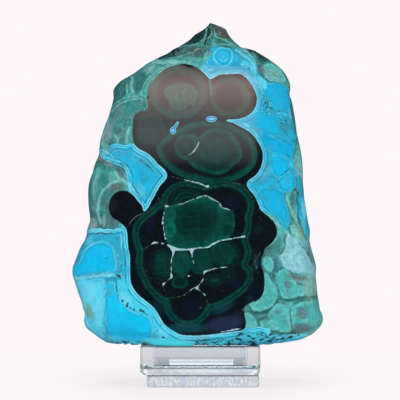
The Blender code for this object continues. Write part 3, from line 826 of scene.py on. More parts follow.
DARK_LINES = [
    ([(111, 109.6), (117, 104.6), (123, 100.8), (130, 98.8), (138, 97.4), (143, 97)],
     (0.3, 0.35, 0.3)),
    ([(143.6, 97), (143.8, 90), (147.2, 82.8), (154, 75.6), (163, 68), (173, 64.6)],
     (0.3, 0.4, 0.2)),
    ([(100, 156), (104, 158.6), (111, 161.4), (119, 164), (126, 168)], (0.3, 0.4, 0.3)),
    ([(135, 190), (139, 197), (142, 203)], (0.4, 0.3)),
    ([(76, 276), (85, 275.4), (100, 273), (112, 271.4), (121, 271)], (0.3, 0.3, 0.3)),
    ([(86, 234), (95, 233.5), (110, 233.5), (117, 232)], (0.2, 0.8, 0.2)),
    ([(104, 258.5), (109, 258)], (0.2, 0.3)),
    ([(269, 133), (276, 136), (284, 141), (290, 142.6), (295, 140)], (0.2, 0.3, 0.5, 0.3)),
    ([(262, 93), (265.5, 100), (270, 106.5), (277, 110.5), (286, 112), (291, 114)],
     (0.2, 0.3, 0.45, 0.35, 0.2)),
    ([(272, 110), (276, 116), (281, 121), (284, 128)], (0.1, 0.3, 0.2)),
    ([(296, 177), (297, 185), (293, 192), (285, 194)], (0.5, 0.5, 0.3)),
    ([(277, 144), (281, 146.4)], (0.3, 0.4)),
    ([(285, 150), (288, 154), (290, 160)], (0.3, 0.4, 0.2)),
    ([(287, 159), (289.4, 166), (286, 172), (281, 175)], (0.2, 0.4, 0.4, 0.3)),
    ([(279, 178), (278.6, 184), (282, 189), (288, 191)], (0.3, 0.4, 0.3)),
    ([(283, 116), (286, 122), (284, 129), (288, 136)], (0.2, 0.5, 0.4, 0.2)),
    ([(116, 281), (117, 290), (118, 299)], (0.6, 0.9, 0.3)),
    ([(104, 285), (106.5, 300), (104.5, 318), (107, 332)], (0.25, 0.3, 0.3)),
    ([(135, 157), (143, 162), (150, 168), (156, 174)], (0.2, 0.6, 0.2)),
    ([(296, 192), (298, 205), (297, 216), (301, 228)], (0.5, 0.7, 0.4)),
    ([(286, 234), (284.6, 240), (285, 246), (281, 254)], (0.8, 1.3, 0.6, 0.9)),
    ([(287, 231), (294, 238), (302, 246), (308, 254), (313, 264)], (0.35, 0.5, 0.4)),
    ([(273, 274), (276, 281), (279, 291), (281, 297)], (0.9, 0.6, 0.8)),
    ([(279, 299), (290, 300), (300, 298), (316, 296)], (0.5, 0.5, 0.9)),
    ([(248, 311), (256, 313), (264, 312.5), (271, 308), (278, 300)], (0.8, 1.2, 1, 0.8)),
    ([(271, 322), (277, 326)], (0.4, 0.3)),
    ([(290, 306), (290.6, 318), (292.5, 332)], (0.4, 0.5, 0.4)),
    ([(258, 58), (264, 60), (268, 59)], (1.6, 1.2)),
    ([(255, 51), (262, 54), (267, 58)], (0.5, 1, 0.4)),
    ([(128, 166), (122, 163.5), (112, 162)], (0.4, 0.4)),
    ([(89, 176), (90, 184)], (1.6, 1)),
    ([(112, 186), (118, 183.6), (122, 186)], (0.3, 0.4)),
    ([(195, 94), (194, 98), (196, 101)], (0.5, 0.7)),
]
# Black tree-like specks in the pale band, and rusty pits, as ovals.
SPECKS = [
    (122.5, 301, 1.4, 1.4, 0), (127.5, 304, 1.2, 2.2, 20), (127, 306.6, 1.2, 1.2, 0),
    (130.4, 308, 0.9, 0.8, 0), (134, 309.4, 1.6, 1.2, -40), (140.6, 309.4, 1.2, 0.8, 0),
    (142, 311, 3, 1.2, 20), (144.6, 313, 1.2, 0.8, 20), (147, 315, 1.1, 0.7, 0),
    (155, 327, 0.8, 0.7, 0), (157.6, 331, 0.7, 1.1, 0), (163.2, 337.4, 1.6, 1.1, 20),
    (166.8, 339, 0.8, 0.7, 0), (119, 276, 2.2, 1.4, 10), (116, 274.6, 1.4, 0.9, 0),
    (120.4, 279, 1.1, 0.8, 0), (106, 273.4, 0.7, 0.5, 0), (153, 318, 0.7, 0.7, 0),
    (161, 325.4, 1.1, 0.7, 20), (268, 104, 1.1, 1.1, 0), (271, 108, 1.4, 0.8, 0),
    (265, 103, 0.9, 1.2, 0), (267, 107, 0.9, 0.8, 0), (264, 96, 0.8, 1.2, 0),
]
# Rounded cells of the blue stone: colour, how strong its pale rim is, and outline.
BLUE_CELLS = [
    ("#10c2f4", 0.8, [(80, 262), (84, 252), (90, 246), (98, 242.5), (106, 243), (112, 247),
     (115, 256), (115, 268), (112, 271), (98, 273), (86, 275), (74, 277), (68, 268)]),
    ("#5ce4ff", 0.3, [(74, 281), (90, 279.5), (104, 280), (105.5, 292), (104, 310), (105, 326),
     (104, 339), (94, 334), (82, 322), (76, 300)]),
    ("#00ceff", 0.5, [(109, 283), (114, 284), (117, 293), (122, 302), (130, 311), (142, 316),
     (150, 318), (151, 338), (140, 343), (125, 344), (111, 339), (107, 325), (105, 305),
     (105.5, 292)]),
    ("#4fd8f5", 0.5, [(116, 284), (121, 277), (127, 279), (131, 285), (139, 296), (150, 303),
     (159, 315), (169, 327), (180, 333), (200, 337), (214, 337), (216, 344), (196, 348),
     (170, 346), (160, 341), (153, 330), (149, 317), (140, 314), (128, 309), (121, 301),
     (116, 291)]),
    ("#1cb3e0", 0.2, [(266, 86), (272, 84), (281, 84), (288, 89), (292, 98), (293, 108),
     (285, 111), (277, 109), (271, 104), (267, 97), (265, 91)]),
    ("#16b2de", 0.1, [(256, 112), (266, 113), (274, 116), (279, 123), (281, 132), (275, 136),
     (266, 133), (258, 128), (251, 121)]),
    ("#08afe4", 0.12, [(262, 134), (272, 137), (282, 142), (292, 144), (294, 152), (291, 158),
     (284, 155), (275, 153), (266, 148), (261, 141)]),
    ("#10b9ec", 0.2, [(272, 158), (279, 156), (286, 159), (289, 166), (287, 173), (281, 177),
     (274, 174), (271, 166)]),
    ("#1dbdea", 0.3, [(282, 177), (290, 172), (295, 177), (295.5, 185), (291, 190), (283, 191),
     (279, 186), (279, 180)]),
    ("#17b3e0", 0.15, [(266, 188), (276, 189), (284, 194), (285, 203), (288, 213), (284, 223),
     (277, 216), (269, 211), (261, 207), (257, 199), (260, 191)]),
    ("#1fb4e0", 1, [(216, 62), (214, 55), (218, 49.5), (224, 48), (230, 50.5), (232, 57),
     (229, 63), (223, 66)]),
]
# Soft patches of other tones: for each colour, ovals with the strength of each. Some are
# painted light, as noted beside them.
BLUE_PATCHES_WITH_PAINTED_LIGHT = {
    "#3f9fb6": [
        (117, 250, 3, 12, 0, 0.5), (120, 262, 4, 14, 0, 0.5), (144, 161, 10, 3, 36, 0.6),
        (106, 150, 6, 4, 0, 0.8), (118, 150, 8, 4, 0, 0.6), (152, 168, 8, 4, 40, 0.5),
        (290, 118, 4, 7, 0, 0.7), (242, 56, 5, 5, 0, 0.8), (247, 67, 6, 7, 0, 0.8),
        (266, 104, 5, 10, -20, 0.6), (264, 197, 4, 3, 0, 0.6), (287, 181, 3, 3, 0, 0.6),
        (232, 70, 8, 4, 0, 0.4), (93, 318, 4, 8, -20, 0.5), (110, 292, 4, 6, 0, 0.5),
        (272, 94, 5, 2, 30, 0.3), (281, 103, 6, 2, -10, 0.3), (200, 340, 18, 5, 0, 0.3),
        (270, 148, 4, 3, 0, 0.4), (278, 205, 3, 8, 10, 0.3), (133, 190, 4, 8, -30, 0.4),
    ],
    "#5c9dbb": [
        (262, 178, 5, 4, 0, 0.6), (270, 150, 3, 5, -30, 0.5), (257, 129, 6, 4, 30, 0.5),
        (250, 97, 3, 8, -10, 0.5), (268, 172, 3, 6, 0, 0.5), (248, 122, 8, 3, 15, 0.4),
        (240, 68, 8, 3, 0, 0.4), (108, 151, 6, 4, 20, 0.6), (122, 153, 6, 3, 20, 0.4),
    ],
    "#2b8ca4": [
        (284, 128, 5, 6, 0, 0.9), (146, 164, 8, 1.6, 36, 0.6), (285, 194, 8, 2, 0, 0.6),
        (246, 88, 3, 6, -20, 0.3), (104, 233, 16, 1.5, 0, 0.5), (258, 178, 4, 4, 0, 0.6),
    ],
    "#79a888": [(89, 310, 3.5, 9, -15, 0.8), (284, 127, 2, 3, 0, 0.35)],
    "#04a2c8": [
        (249, 66, 8, 11, -25, 0.5), (262, 92, 6, 26, -8, 0.5), (222, 70, 24, 7, 0, 0.4),
        (249, 120, 13, 8, 20, 0.75), (266, 145, 5, 20, -5, 0.5),
    ],
    # the two palest are partly the lower rim's paler blue and partly painted light against the
    # shade where it turns under
    "#3cdcf2": [(217, 341, 26, 5, -6, 0.9), (262, 336, 26, 7, 0, 0.9), (297, 338, 16, 5, 0, 0.8)],
    "#4ff0ff": [(168, 343, 26, 6, 4, 0.95), (135, 342, 16, 3, 10, 0.5)],
    "#06bdf0": [
        (97, 262, 12, 9, 0, 0.7), (128, 325, 18, 14, -30, 0.5), (134, 174, 6, 12, -20, 0.6),
        (262, 124, 7, 5, 20, 0.5), (280, 168, 6, 7, 0, 0.5), (275, 207, 6, 8, 0, 0.4),
        (120, 156, 8, 3, 20, 0.3), (150, 183, 4, 12, 30, 0.5), (270, 92, 3, 3, 0, 0.3),
    ],
    "#7ae4fc": [
        (90, 292, 7, 10, 0, 0.6), (99, 312, 5, 16, 10, 0.5), (116, 340, 10, 4, 10, 0.3),
        (190, 340, 14, 3.5, 0, 0.4), (262, 82, 4, 9, -20, 0.6), (304, 208, 3, 10, -5, 0.8),
        (245, 64, 4, 4, 0, 0.5), (126, 299, 5, 8, -35, 0.7), (122, 240, 2, 8, 0, 0.6),
        (163, 334, 5, 6, -40, 0.6), (303, 222, 3, 8, 0, 0.4), (100, 231, 14, 2.6, 0, 0.6),
        (88, 240, 5, 5, 0, 0.4), (292, 113, 4, 7, 0, 0.6), (253, 66, 4, 8, 0, 0.4),
        (223, 57, 2, 2, 0, 0.15), (141, 190, 4, 8, -25, 0.3),
    ],
}
GREEN_PATCHES_WITH_PAINTED_LIGHT = {
    "#62b7b8": [
        (298, 158, 4, 16, 4, 1), (284, 84, 6, 4, 0, 0.7), (104, 148, 5, 6, 0, 0.8),
        (241, 50, 5, 4, 0, 0.8), (232, 45, 5, 3, 20, 0.5), (258, 58, 5, 3, 0, 0.4),
        (96, 176, 4, 10, 10, 0.6), (95, 190, 4, 10, 0, 0.5), (112, 178, 5, 5, 0, 0.4),
        (129, 134, 4, 8, 0, 0.5), (275, 246, 6, 8, 20, 0.5), (150, 67, 8, 5, -40, 0.6),
        (270, 66, 12, 6, 20, 0.2), (318, 314, 4, 14, 0, 0.6),
    ],
    # painted light: lifts the green at the right edge, where the stone turns away from the lamps
    "#9fd8cc": [(310, 286, 8, 16, 0, 0.6), (309, 264, 5, 9, 0, 0.5)],
    "#8fa9a2": [(273, 74, 9, 6, 20, 0.5), (176, 62, 6, 2, 0, 0.3), (150, 68, 7, 4, -40, 0.3)],
    "#88a8b0": [
        (107, 134, 5, 10, 15, 0.8), (112, 125, 5, 8, 20, 0.5), (100, 157, 6, 4, 0, 0.8),
        (92, 224, 6, 7, 0, 0.9), (104, 221, 4, 6, 0, 0.6), (108, 163, 6, 3, 20, 0.6),
        (118, 112, 6, 8, 0, 0.3), (120, 136, 6, 3, 0, 0.4), (126, 176, 3, 6, 0, 0.4),
        (95, 208, 4, 8, 0, 0.3), (302, 280, 10, 4, 10, 0.5), (115, 185, 6, 5, 0, 0.5),
    ],
    "#4a6b7c": [
        (113, 219, 7, 8, 0, 0.9), (121, 171, 7, 7, 30, 0.8), (113, 141, 4, 3, 0, 0.8),
        (122, 141, 4, 3, 0, 0.8), (108, 206, 4, 7, 0, 0.7), (112, 192, 5, 6, 0, 0.5),
        (120, 118, 7, 14, 0, 0.25), (276, 262, 3, 8, -10, 0.7), (199, 53, 6, 5, 0, 0.5),
        (300, 328, 9, 6, 0, 0.7), (302, 313, 5, 6, 0, 0.45), (137, 70, 5, 8, -40, 0.4),
    ],
    "#3a4c50": [
        (186, 51.5, 15, 4.5, -12, 0.8), (203, 49, 6, 3.4, 0, 0.7), (208, 35, 3, 9, 0, 0.6),
        (199, 54, 6, 5, 0, 0.6), (176, 56, 7, 2, 0, 0.5), (258, 62, 8, 2.5, 10, 0.6),
        (262, 70, 2.6, 6, -20, 0.5), (202, 38, 5, 8, 30, 0.6), (200, 52, 10, 6, 0, 0.4),
    ],
    "#1f7f68": [(219, 41, 6, 3, 20, 0.8), (209, 42.5, 3, 4, 0, 0.8), (204, 56, 3, 3, 0, 0.4)],
    "#9dbfa6": [
        (298, 232, 4, 12, -25, 0.5), (290, 207, 2, 10, -15, 0.4), (276, 222, 8, 4, 50, 0.3),
    ],
    "#2f7480": [(293, 199, 3.4, 9, -5, 0.85), (275, 243, 7, 9, 20, 0.35)],
    "#1d5458": [
        (265, 250, 10, 7, -35, 0.9), (258, 259, 5, 11, 0, 0.95), (278, 249, 4, 8, 0, 0.5),
        (208, 46, 6, 7, 0, 0.5),
    ],
    "#86c6da": [(300, 172, 4, 12, 0, 0.8), (298, 160, 3, 6, 0, 0.4), (309, 248, 4, 9, -15, 0.6)],
    "#5fd4d0": [(290, 309, 7, 5, 0, 0.7)],
    "#2a6a6a": [
        (300, 298.6, 16, 2.2, 0, 0.4), (268, 317, 6, 4, 0, 0.5), (257, 313, 9, 2, 0, 0.5),
        (276, 272, 2.5, 7, 0, 0.4), (120, 90, 7, 9, 20, 0.9), (140, 82, 6, 12, 25, 0.9),
        (145, 106, 2.5, 3, 0, 0.9), (277, 244, 5, 10, 20, 0.3), (222, 43, 9, 3, 15, 0.7),
        (236, 44, 5, 3, 30, 0.3), (264, 60, 6, 3, 20, 0.6), (264, 317, 5, 5, 0, 0.5),
        (116, 130, 5, 5, 0, 0.3), (188, 54, 6, 4, 0, 0.5), (254, 55, 7, 2, 20, 0.5),
        (292, 205, 3, 12, -10, 0.4),
    ],
    "#5b4b3e": [
        (198, 49, 7, 2, -10, 0.5), (192, 53, 2, 4, 0, 0.4), (118, 187, 7, 4, 0, 0.6),
        (260, 70, 2.6, 4, -20, 0.9), (90, 312, 5, 8, -20, 0.4), (297, 277, 12, 3, 10, 0.6),
        (186, 62, 10, 2, 0, 0.3), (310, 258, 2, 14, -15, 0.5), (101, 161, 8, 2.5, 20, 0.5),
    ],
}
DARK_PATCHES = {
    "#0c1428": [
        (192, 308, 10, 11, 0, 0.7), (232, 204, 8, 9, 0, 0.7), (253, 290, 6, 8, 0, 0.7),
        (150, 226, 5, 9, 0, 0.7), (234, 282, 7, 7, 0, 0.7), (152, 262, 3, 10, 0, 0.7),
    ],
    "#263250": [(224, 324, 20, 8, -8, 0.75), (237, 318, 6, 8, 0, 0.3)],
    "#134650": [
        (186, 328, 22, 5, 0, 0.7), (222, 307, 13, 6, -25, 0.5), (160, 306, 8, 10, -35, 0.2),
        (256, 262, 4, 9, 0, 0.4), (250, 300, 5, 5, 0, 0.2),
    ],
}
# Where fine dark pits and pale flecks pepper the blue: ovals with the strength of each.
PITTED = [
    (266, 104, 6, 13, -15, 1), (247, 69, 8, 7, 0, 0.9), (283, 120, 7, 8, 0, 0.6),
    (119, 262, 3, 12, 0, 0.8), (90, 302, 9, 22, 0, 0.35), (125, 290, 5, 10, -15, 0.35),
    (258, 63, 5, 5, 0, 0.7), (132, 308, 16, 4, 25, 0.3), (252, 180, 5, 3, -20, 0.8),
    (268, 76, 5, 4, 20, 0.6), (119, 274, 5, 3, 0, 0.8), (92, 330, 9, 10, 30, 0.4),
    (122, 340, 24, 5, 5, 0.5), (244, 126, 8, 4, 25, 0.6), (112, 137, 10, 6, 0, 0.4),
    (290, 270, 6, 5, 30, 0.8), (184, 56, 18, 5, -10, 0.3), (302, 278, 12, 4, 12, 0.7),
    (310, 262, 4, 10, -15, 0.4), (283, 246, 3, 10, 0, 0.4),
]
# The stripes and cell rims by the upper right disc are calmer, by this share.
CALM_SPOT = (243, 97, 30, 46, 0)
CALM_SHARE = 0.3

# ---- colours -------------------------------------------------------------------------------
DARK_STOPS = [
    (0, "#0a0e17"),
    (0.25, "#062322"),
    (0.5, "#083a36"),
    (0.75, "#0a5049"),
    (1, "#0d6c5d"),
]
BLUE_STOPS = [
    (0, "#2387a0"),
    (0.3, "#2fa6c6"),
    (0.5, "#1fb8e2"),
    (0.8, "#74dcf3"),
    (1, "#bdeff7"),
]
GREEN_STOPS = [
    (0, "#0f3335"),
    (0.25, "#1f6263"),
    (0.5, "#338e8b"),
    (0.72, "#4ec0bd"),
    (1, "#96e0d6"),
]
PALE_STRIPE = "#7de4f6"
DARK_STRIPE = "#1486aa"
LINE_IN_GREEN = "#86cbbf"
LINE_IN_BLUE = "#84e2f6"
GREY = "#5f737e"
# Pale and dark stripes of the blue along its border: distance from it, and how pale.
BLUE_STRIPES = [
    (-1, 0.5), (0.1, 0.6), (0.5, 1), (1, 0.9), (1.5, -0.2), (2, -0.3), (2.4, 0.6), (3.1, 0.75),
    (3.6, 0), (4.4, -0.4), (5, -0.7), (5.4, -1), (5.9, 0.1), (6.4, 0.3), (7, 0), (8, 0),
]
# Areas of the green stone: colour, strength, the depths where it starts and is full, outlines.
COVERS = [
    ("#93d3df", 1.0, -0.6, 0.8, [ICE]),
    # partly the summit's dark malachite, partly painted shade and dark reflection on its broken
    # facets
    ("#0b1a1c", 0.92, -0.8, 0.8, SUMMIT),
    ("#4f4546", 0.95, -0.6, 0.6, [BROWN_FACET]),
]
# Tones of the dark, blue and green stone, each with its ripples of (strength, size, seed), and
# how much the domes of the blue and the green differ.
DARK_SHADING = [(0.15, 3 * MM, 5)]
DARK_MOTTLE = [(0.04, 1.2 * MM, 6)]
BLUE_TONE = 0.34
BLUE_WAVES = [(0.14, 5 * MM, 21), (0.10, 1.8 * MM, 22)]
BLUE_DOMES = (0.02, 0.4)
BLUE_DOME_SEED = 32
BLUE_SEAM = 0.4 * MM
BLUE_SEAM_DARK = 0.7
CELL_COVER = 0.85
CELL_EDGE = (-0.5, 0.5)
CELL_RIM = (-0.3, 0.5**0.5)  # depth and width of a cell's pale rim, and of the dark one inside
CELL_SHADE = (1.4, 0.8**0.5)
CELL_SHADE_DARK = 0.5
CELL_FADING = 0.8  # the rims come and go along a cell
CELL_FADING_WAVES = [(0.6, 4 * MM, 26)]
GREEN_TONE = 0.42
GREEN_WAVES = [(0.07, 5 * MM, 23)]
GREEN_DOMES = (-0.1, 0.12)
GREEN_DOME_SEED = 31
GREEN_SEAM = 0.35 * MM
GREEN_SEAM_PALE = 0.42
GREEN_SEAM_FRONT = 0.3  # share of the seams' paleness that is left on the front
GROWTH_LIGHT = 0.07  # rings of growth beside the seams: how light, how far apart, how deep
GROWTH_SPACING = 0.55 * MM
GROWTH_FADE = 3 * MM
LOBE_REGION = (-4, -1.2)  # depths over which the green gives way to the pale lobes
STAIN_WAVES = [(1, 4.5 * MM, 35)]
STAIN_RANGE = (0.1, 0.9)
STAIN = 0.4
LOBE_SPOT = 0.75


def linear(code):
    """Linear red, green and blue of an sRGB hex colour."""
    parts = np.array([int(code[i : i + 2], 16) / 255 for i in (1, 3, 5)])
    return np.where(parts > 0.04045, ((parts + 0.055) / 1.055) ** 2.4, parts / 12.92)


def lit(depth, profile):
    """Lightness along a depth, from (depth, light) pairs."""
    return np.interp(depth, *np.transpose(profile))


def shaded(value, stops):
    """Colour along a run of (place, hex colour) stops."""
    places = [place for place, _ in stops]
    colours = np.array([linear(code) for _, code in stops])
    return np.stack([np.interp(value, places, colours[:, i]) for i in range(3)], axis=-1)


def toward(paint, code, share):
    """Paint mixed with a hex colour by a share that may differ from point to point."""
    return paint + (linear(code) - paint) * np.clip(share, 0, 1)[:, None]


def tinted(paint, sheet, patches, share):
    """Paint with soft patches of other colours over it."""
    for code, spots in patches.items():
        for *oval, strength in spots:
            paint = toward(paint, code, strength * share * patch(sheet, *oval))
    return paint


def malachite_paint(sheet, points, dark):
    """Colour of the dark malachite, and the distance that its fine growth lines follow: shells
    of growth, each over the ones before, given as its depth, its lightness along that depth
    and the depth at which it starts."""
    bent = sheet + np.stack([ripples(points, waves) for waves in SHELL_BENDS], axis=-1)
    heart = outline_depth(sheet, HEART)
    cores = [outline_depth(sheet, knots, CORE_MARGIN) for knots in (UPPER_CORE, LEFT_CORE)]

    def ovals(shells, limit):
        """Oval shells that keep inside a limit."""
        return [(np.minimum(oval_depth(bent, *oval), limit), light, 0) for oval, light in shells]

    shells = [
        (outline_depth(sheet, UPPER_RING), UPPER_RING_LIGHT, 0),
        *ovals(SHELLS_ABOVE, math.inf),
        (outline_depth(sheet, UPPER_CORE), UPPER_CORE_LIGHT, 0),
        (outline_depth(sheet, LEFT_CORE), LEFT_CORE_LIGHT, 0),
        *ovals(CORE_LOBES, np.max(cores, axis=0)),
        (outline_depth(sheet, SCALLOPS, SCALLOP_MARGIN), SCALLOP_LIGHT, SCALLOP_START),
        *ovals(SHELLS_BELOW, math.inf),
        (heart, HEART_LIGHT, 0),
        *ovals(HEART_LOBES, heart - HEART_BORDER),
    ]
    light, growth = np.zeros(len(sheet)), dark
    for depth, profile, start in shells:
        light = np.where(depth > start, lit(depth, profile), light)
        growth = np.where(depth > start, depth, growth)
    light = light * (1 + ripples(points, DARK_SHADING)) + ripples(points, DARK_MOTTLE)
    return tinted(shaded(light, DARK_STOPS), sheet, DARK_PATCHES, 1), growth


def blue_paint(sheet, points, front, owner, gap):
    """Colour of the chrysocolla: mottled teal round brighter cells, each with a pale rim, and
    soft patches of tone, with painted light along the lower rim. Behind, its domes differ a
    little and meet in dark seams."""
    domes = np.random.default_rng(BLUE_DOME_SEED).uniform(*BLUE_DOMES, owner.max() + 1)
    tone = BLUE_TONE + ripples(points, BLUE_WAVES) + domes[owner] * (1 - front)
    paint = shaded(np.clip(tone, 0, 1), BLUE_STOPS)
    seams = BLUE_SEAM_DARK * ridge(gap, 0, BLUE_SEAM)
    paint = toward(paint, DARK_STRIPE, seams * (1 - front))
    fading = np.clip(CELL_FADING + ripples(points, CELL_FADING_WAVES), 0, 1) * front
    for code, rim, knots in BLUE_CELLS:
        cell = outline_depth(sheet, knots)
        paint = toward(paint, code, CELL_COVER * between(cell, *CELL_EDGE) * front)
        paint = toward(paint, PALE_STRIPE, rim * ridge(cell, *CELL_RIM) * fading)
        shade = CELL_SHADE_DARK * ridge(cell, *CELL_SHADE)
        paint = toward(paint, DARK_STRIPE, shade * fading)
    return tinted(paint, sheet, BLUE_PATCHES_WITH_PAINTED_LIGHT, front)


def green_paint(sheet, points, front, owner, gap):
    """Colour of the green stone: domes that pale towards the seams between them, with growth
    rings, and on the front the lobes, spots and stains drawn on the sheet."""
    domes = np.random.default_rng(GREEN_DOME_SEED).uniform(*GREEN_DOMES, owner.max() + 1)
    tone = GREEN_TONE + domes[owner] + ripples(points, GREEN_WAVES)
    tone = tone + GROWTH_LIGHT * np.sin(gap / GROWTH_SPACING) * np.exp(-gap / GROWTH_FADE)
    seams = GREEN_SEAM_PALE * ridge(gap, 0, GREEN_SEAM)
    tone = tone + seams * (1 - (1 - GREEN_SEAM_FRONT) * front)
    lobes = np.max([outline_depth(sheet, knots) for knots in PALE_LOBES], axis=0)
    region = between(lobes, *LOBE_REGION) * front
    tone = tone + (lit(lobes, LOBE_LIGHT) - tone) * region
    paint = shaded(np.clip(tone, 0, 1), GREEN_STOPS)
    stain = STAIN * between(ripples(points, STAIN_WAVES), *STAIN_RANGE)
    paint = toward(paint, GREY, stain * (1 - region))
    # soft patches of tone, and painted light at the right edge
    paint = tinted(paint, sheet, GREEN_PATCHES_WITH_PAINTED_LIGHT, front)
    for spot in LOBE_SPOTS:
        paint = toward(paint, GREY, LOBE_SPOT * patch(sheet, *spot) * front)
    for code, strength, low, high, outlines in COVERS:
        depth = np.max([outline_depth(sheet, knots) for knots in outlines], axis=0)
        paint = toward(paint, code, strength * between(depth, low, high) * front)
    return paint


# ---- materials -----------------------------------------------------------------------------
# What lies over the green stone, from the bottom up: the attribute that holds its depth, how
# soft its edge is in millimetres, how strongly it covers, and its paint: a hex colour, or the
# attribute that holds it.
MARKINGS = [
    ("blue_depth", 0.18, 1, "blue_paint"),
    ("pale_line", 0.28, 0.7, "line_paint"),
    ("dark_line", 0.24, 0.78, "#185058"),
    ("speck", 0.12, 0.9, "#12262a"),
    # painted shade in the deepest hollows of the broken rim
    ("crevice", 0.25, 0.95, "#0c343a"),
    ("dark_rim", 0.16, 0.6, "#8fd6e0"),
    ("dark_depth", 0.16, 1, "dark_paint"),
    ("faint_vein", 0.1, 0.4, "#6f7f70"),
    ("eye_rim", 0.14, 0.95, "#62c6e0"),
    ("eye_depth", 0.16, 1, "#0a6fae"),
    ("eye_heart", 0.2, 0.9, "#66cdf0"),
    # pale veins, and the painted glint on the malachite's lower edge
    ("pale_vein_and_glint", 0.14, 0.85, "#a9d6df"),
]
# The paints held as attributes: how strong the growth lines are in each, the tone its mottling
# goes to and how far, and the tones of its pale and dark hair veins and how far.
PAINTS = {
    "green_paint": (0.16, "#1f5f62", 0.3, "#8ccfc2", "#1b4c50", 0.32),
    "blue_paint": (0.05, "#2391b0", 0.2, "#5fd2ee", "#12809f", 0.07),
    "line_paint": (0, "#2b96a8", 0.35, "#c8f2f2", "#2b96a8", 0.2),
    "dark_paint": (0.2, "#0e4c40", 0.05, "#0e4c40", "#0a0e17", 0),
}
# Pepper in the pitted blue: the noise where it starts and is full, and its colour.
PEPPER = [(0.40, 0.35, "#123c48"), (0.62, 0.67, "#a8e6f0")]
PIT_TONE = "#12333a"
POLISHED = 0.045  # roughness of the polished face, of green stone beside it, of broken stone
WAXY = 0.3
BROKEN = 0.6
STONE_IOR = 1.6
STONE_RELIEF = 0.4 * MM
# Scales of the noises: so many waves, grains or lines to the millimetre.
WAVER_SCALE = 0.9 / MM  # the borders waver over about 1.1 mm
MOTTLE_SCALE = 0.6 / MM  # mottling 1.7 mm across
HAIR_SCALES = (0.23 / MM, 0.31 / MM)  # hair veins 3 to 4 mm apart
PEPPER_SCALE = 1.9 / MM  # pits and flecks half a millimetre apart
GRAIN_SCALE = 1.4 / MM  # grains of broken stone, 0.7 mm
GROWTH_SCALE = 2.5 / MM  # growth lines 0.4 mm apart: the real ones are too fine to show
SAW_SCALE = 1.5 / MM  # marks of the saw 0.7 mm apart: as coarse as they need to be to show
# Values of a noise between which its share or its size runs from least to most.
WAVER_LOW, WAVER_HIGH = 0.3, 0.7
MOTTLE_LOW, MOTTLE_HIGH = 0.38, 0.62
GROWTH_LOW, GROWTH_HIGH = 0.35, 0.65
PIT_START, PIT_FULL = 0.48, 0.38
SAW_LOW, SAW_HIGH = 0.42, 0.6
HAIR_START, HAIR_FULL = 0.016, 0.004  # how near its middle a noise gives a hair vein
WAVER = 0.1 * MM  # how far every border wavers
PIT_DARK = 0.4  # how strongly the pits of broken stone are darkened
# Depths inside the malachite or the blue over which waxy stone gives way to polished.
WAXY_START, WAXY_END = -0.3 * MM, 0.1 * MM
ACRYLIC_IOR = 1.49
ACRYLIC_TINT = "#eef4f8"
ACRYLIC_POLISHED = 0.015  # roughness of polished and of frosted acrylic
ACRYLIC_FROSTED = 0.34
SAWN_TINTS = ("#cfdff0", "#ffffff")
SAW_STRETCH = (1.0, 1.0, 0.4)  # drawn out upwards
SAW_RELIEF = 0.3 * MM
MILKY_START = 0.6  # frosting beyond this share turns the acrylic milky
MILKY_CLEAR = 0.15  # how clear it still is where it is fully frosted


def add(tree, kind, inputs=None, out=0, **settings):
    """Adds a node: its settings, then its inputs by name or place, each a value or another
    node's output. Gives back one of its outputs, or the node itself where out is None."""
    node = tree.nodes.new("ShaderNode" + kind)
    for name, value in settings.items():
        setattr(node, name, value)
    for place, value in (inputs or {}).items():
        if isinstance(value, bpy.types.NodeSocket):
            tree.links.new(value, node.inputs[place])
        else:
            node.inputs[place].default_value = value
    return node if out is None else node.outputs[out]


def new_material(name):
    """An empty material and its tree."""
    material = bpy.data.materials.new(name)
    material.use_nodes = True
    material.node_tree.nodes.clear()
    return material, material.node_tree


def rgba(code):
    """A hex colour as a socket takes it."""
    return (*linear(code), 1.0)


def hair_veins(tree, place):
    """Shares of thin winding veins, one for each scale: where a noise crosses its middle."""
    hairs = []
    for scale in HAIR_SCALES:
        vein = add(tree, "TexNoise", {"Vector": place, "Scale": scale, "Detail": 5}, "Fac")
        vein = add(tree, "Math", {0: vein, 1: 0.5}, operation="SUBTRACT")
        vein = add(tree, "Math", {0: vein}, operation="ABSOLUTE")
        hairs.append(add(tree, "MapRange", {0: vein, 1: HAIR_START, 2: HAIR_FULL}))
    return hairs


def grained_paints(tree, place):
    """The held paints, each with its growth lines, its mottling and its hair veins."""
    noise = {"Vector": place, "Scale": MOTTLE_SCALE, "Detail": 6}
    mottle = add(tree, "TexNoise", noise, "Fac")
    mottle = add(tree, "MapRange", {0: mottle, 1: MOTTLE_LOW, 2: MOTTLE_HIGH})
    growth = add(tree, "Attribute", out="Fac", attribute_name="growth")
    growth = add(tree, "Math", {0: growth, 1: GROWTH_SCALE}, operation="MULTIPLY")
    lines = add(tree, "TexNoise", {"W": growth, "Scale": 1}, "Fac", noise_dimensions="1D")
    hairs = hair_veins(tree, place)
    paints = {}
    for name, (line_share, tone, mottle_share, *hair_tones, hair_share) in PAINTS.items():
        paint = add(tree, "Attribute", out="Color", attribute_name=name)
        light = {0: lines, 1: GROWTH_LOW, 2: GROWTH_HIGH, 3: 1 - line_share, 4: 1 + line_share}
        light = add(tree, "MapRange", light)
        paint = add(tree, "VectorMath", {0: paint, "Scale": light}, operation="SCALE")
        layers = [(mottle, mottle_share, tone)]
        layers += [(hair, hair_share, code) for hair, code in zip(hairs, hair_tones)]
        for layer, most, code in layers:
            share = add(tree, "Math", {0: layer, 1: most}, operation="MULTIPLY")
            over = {0: share, 6: paint, 7: rgba(code)}
            paint = add(tree, "Mix", over, 2, data_type="RGBA")
        paints[name] = paint
    return paints


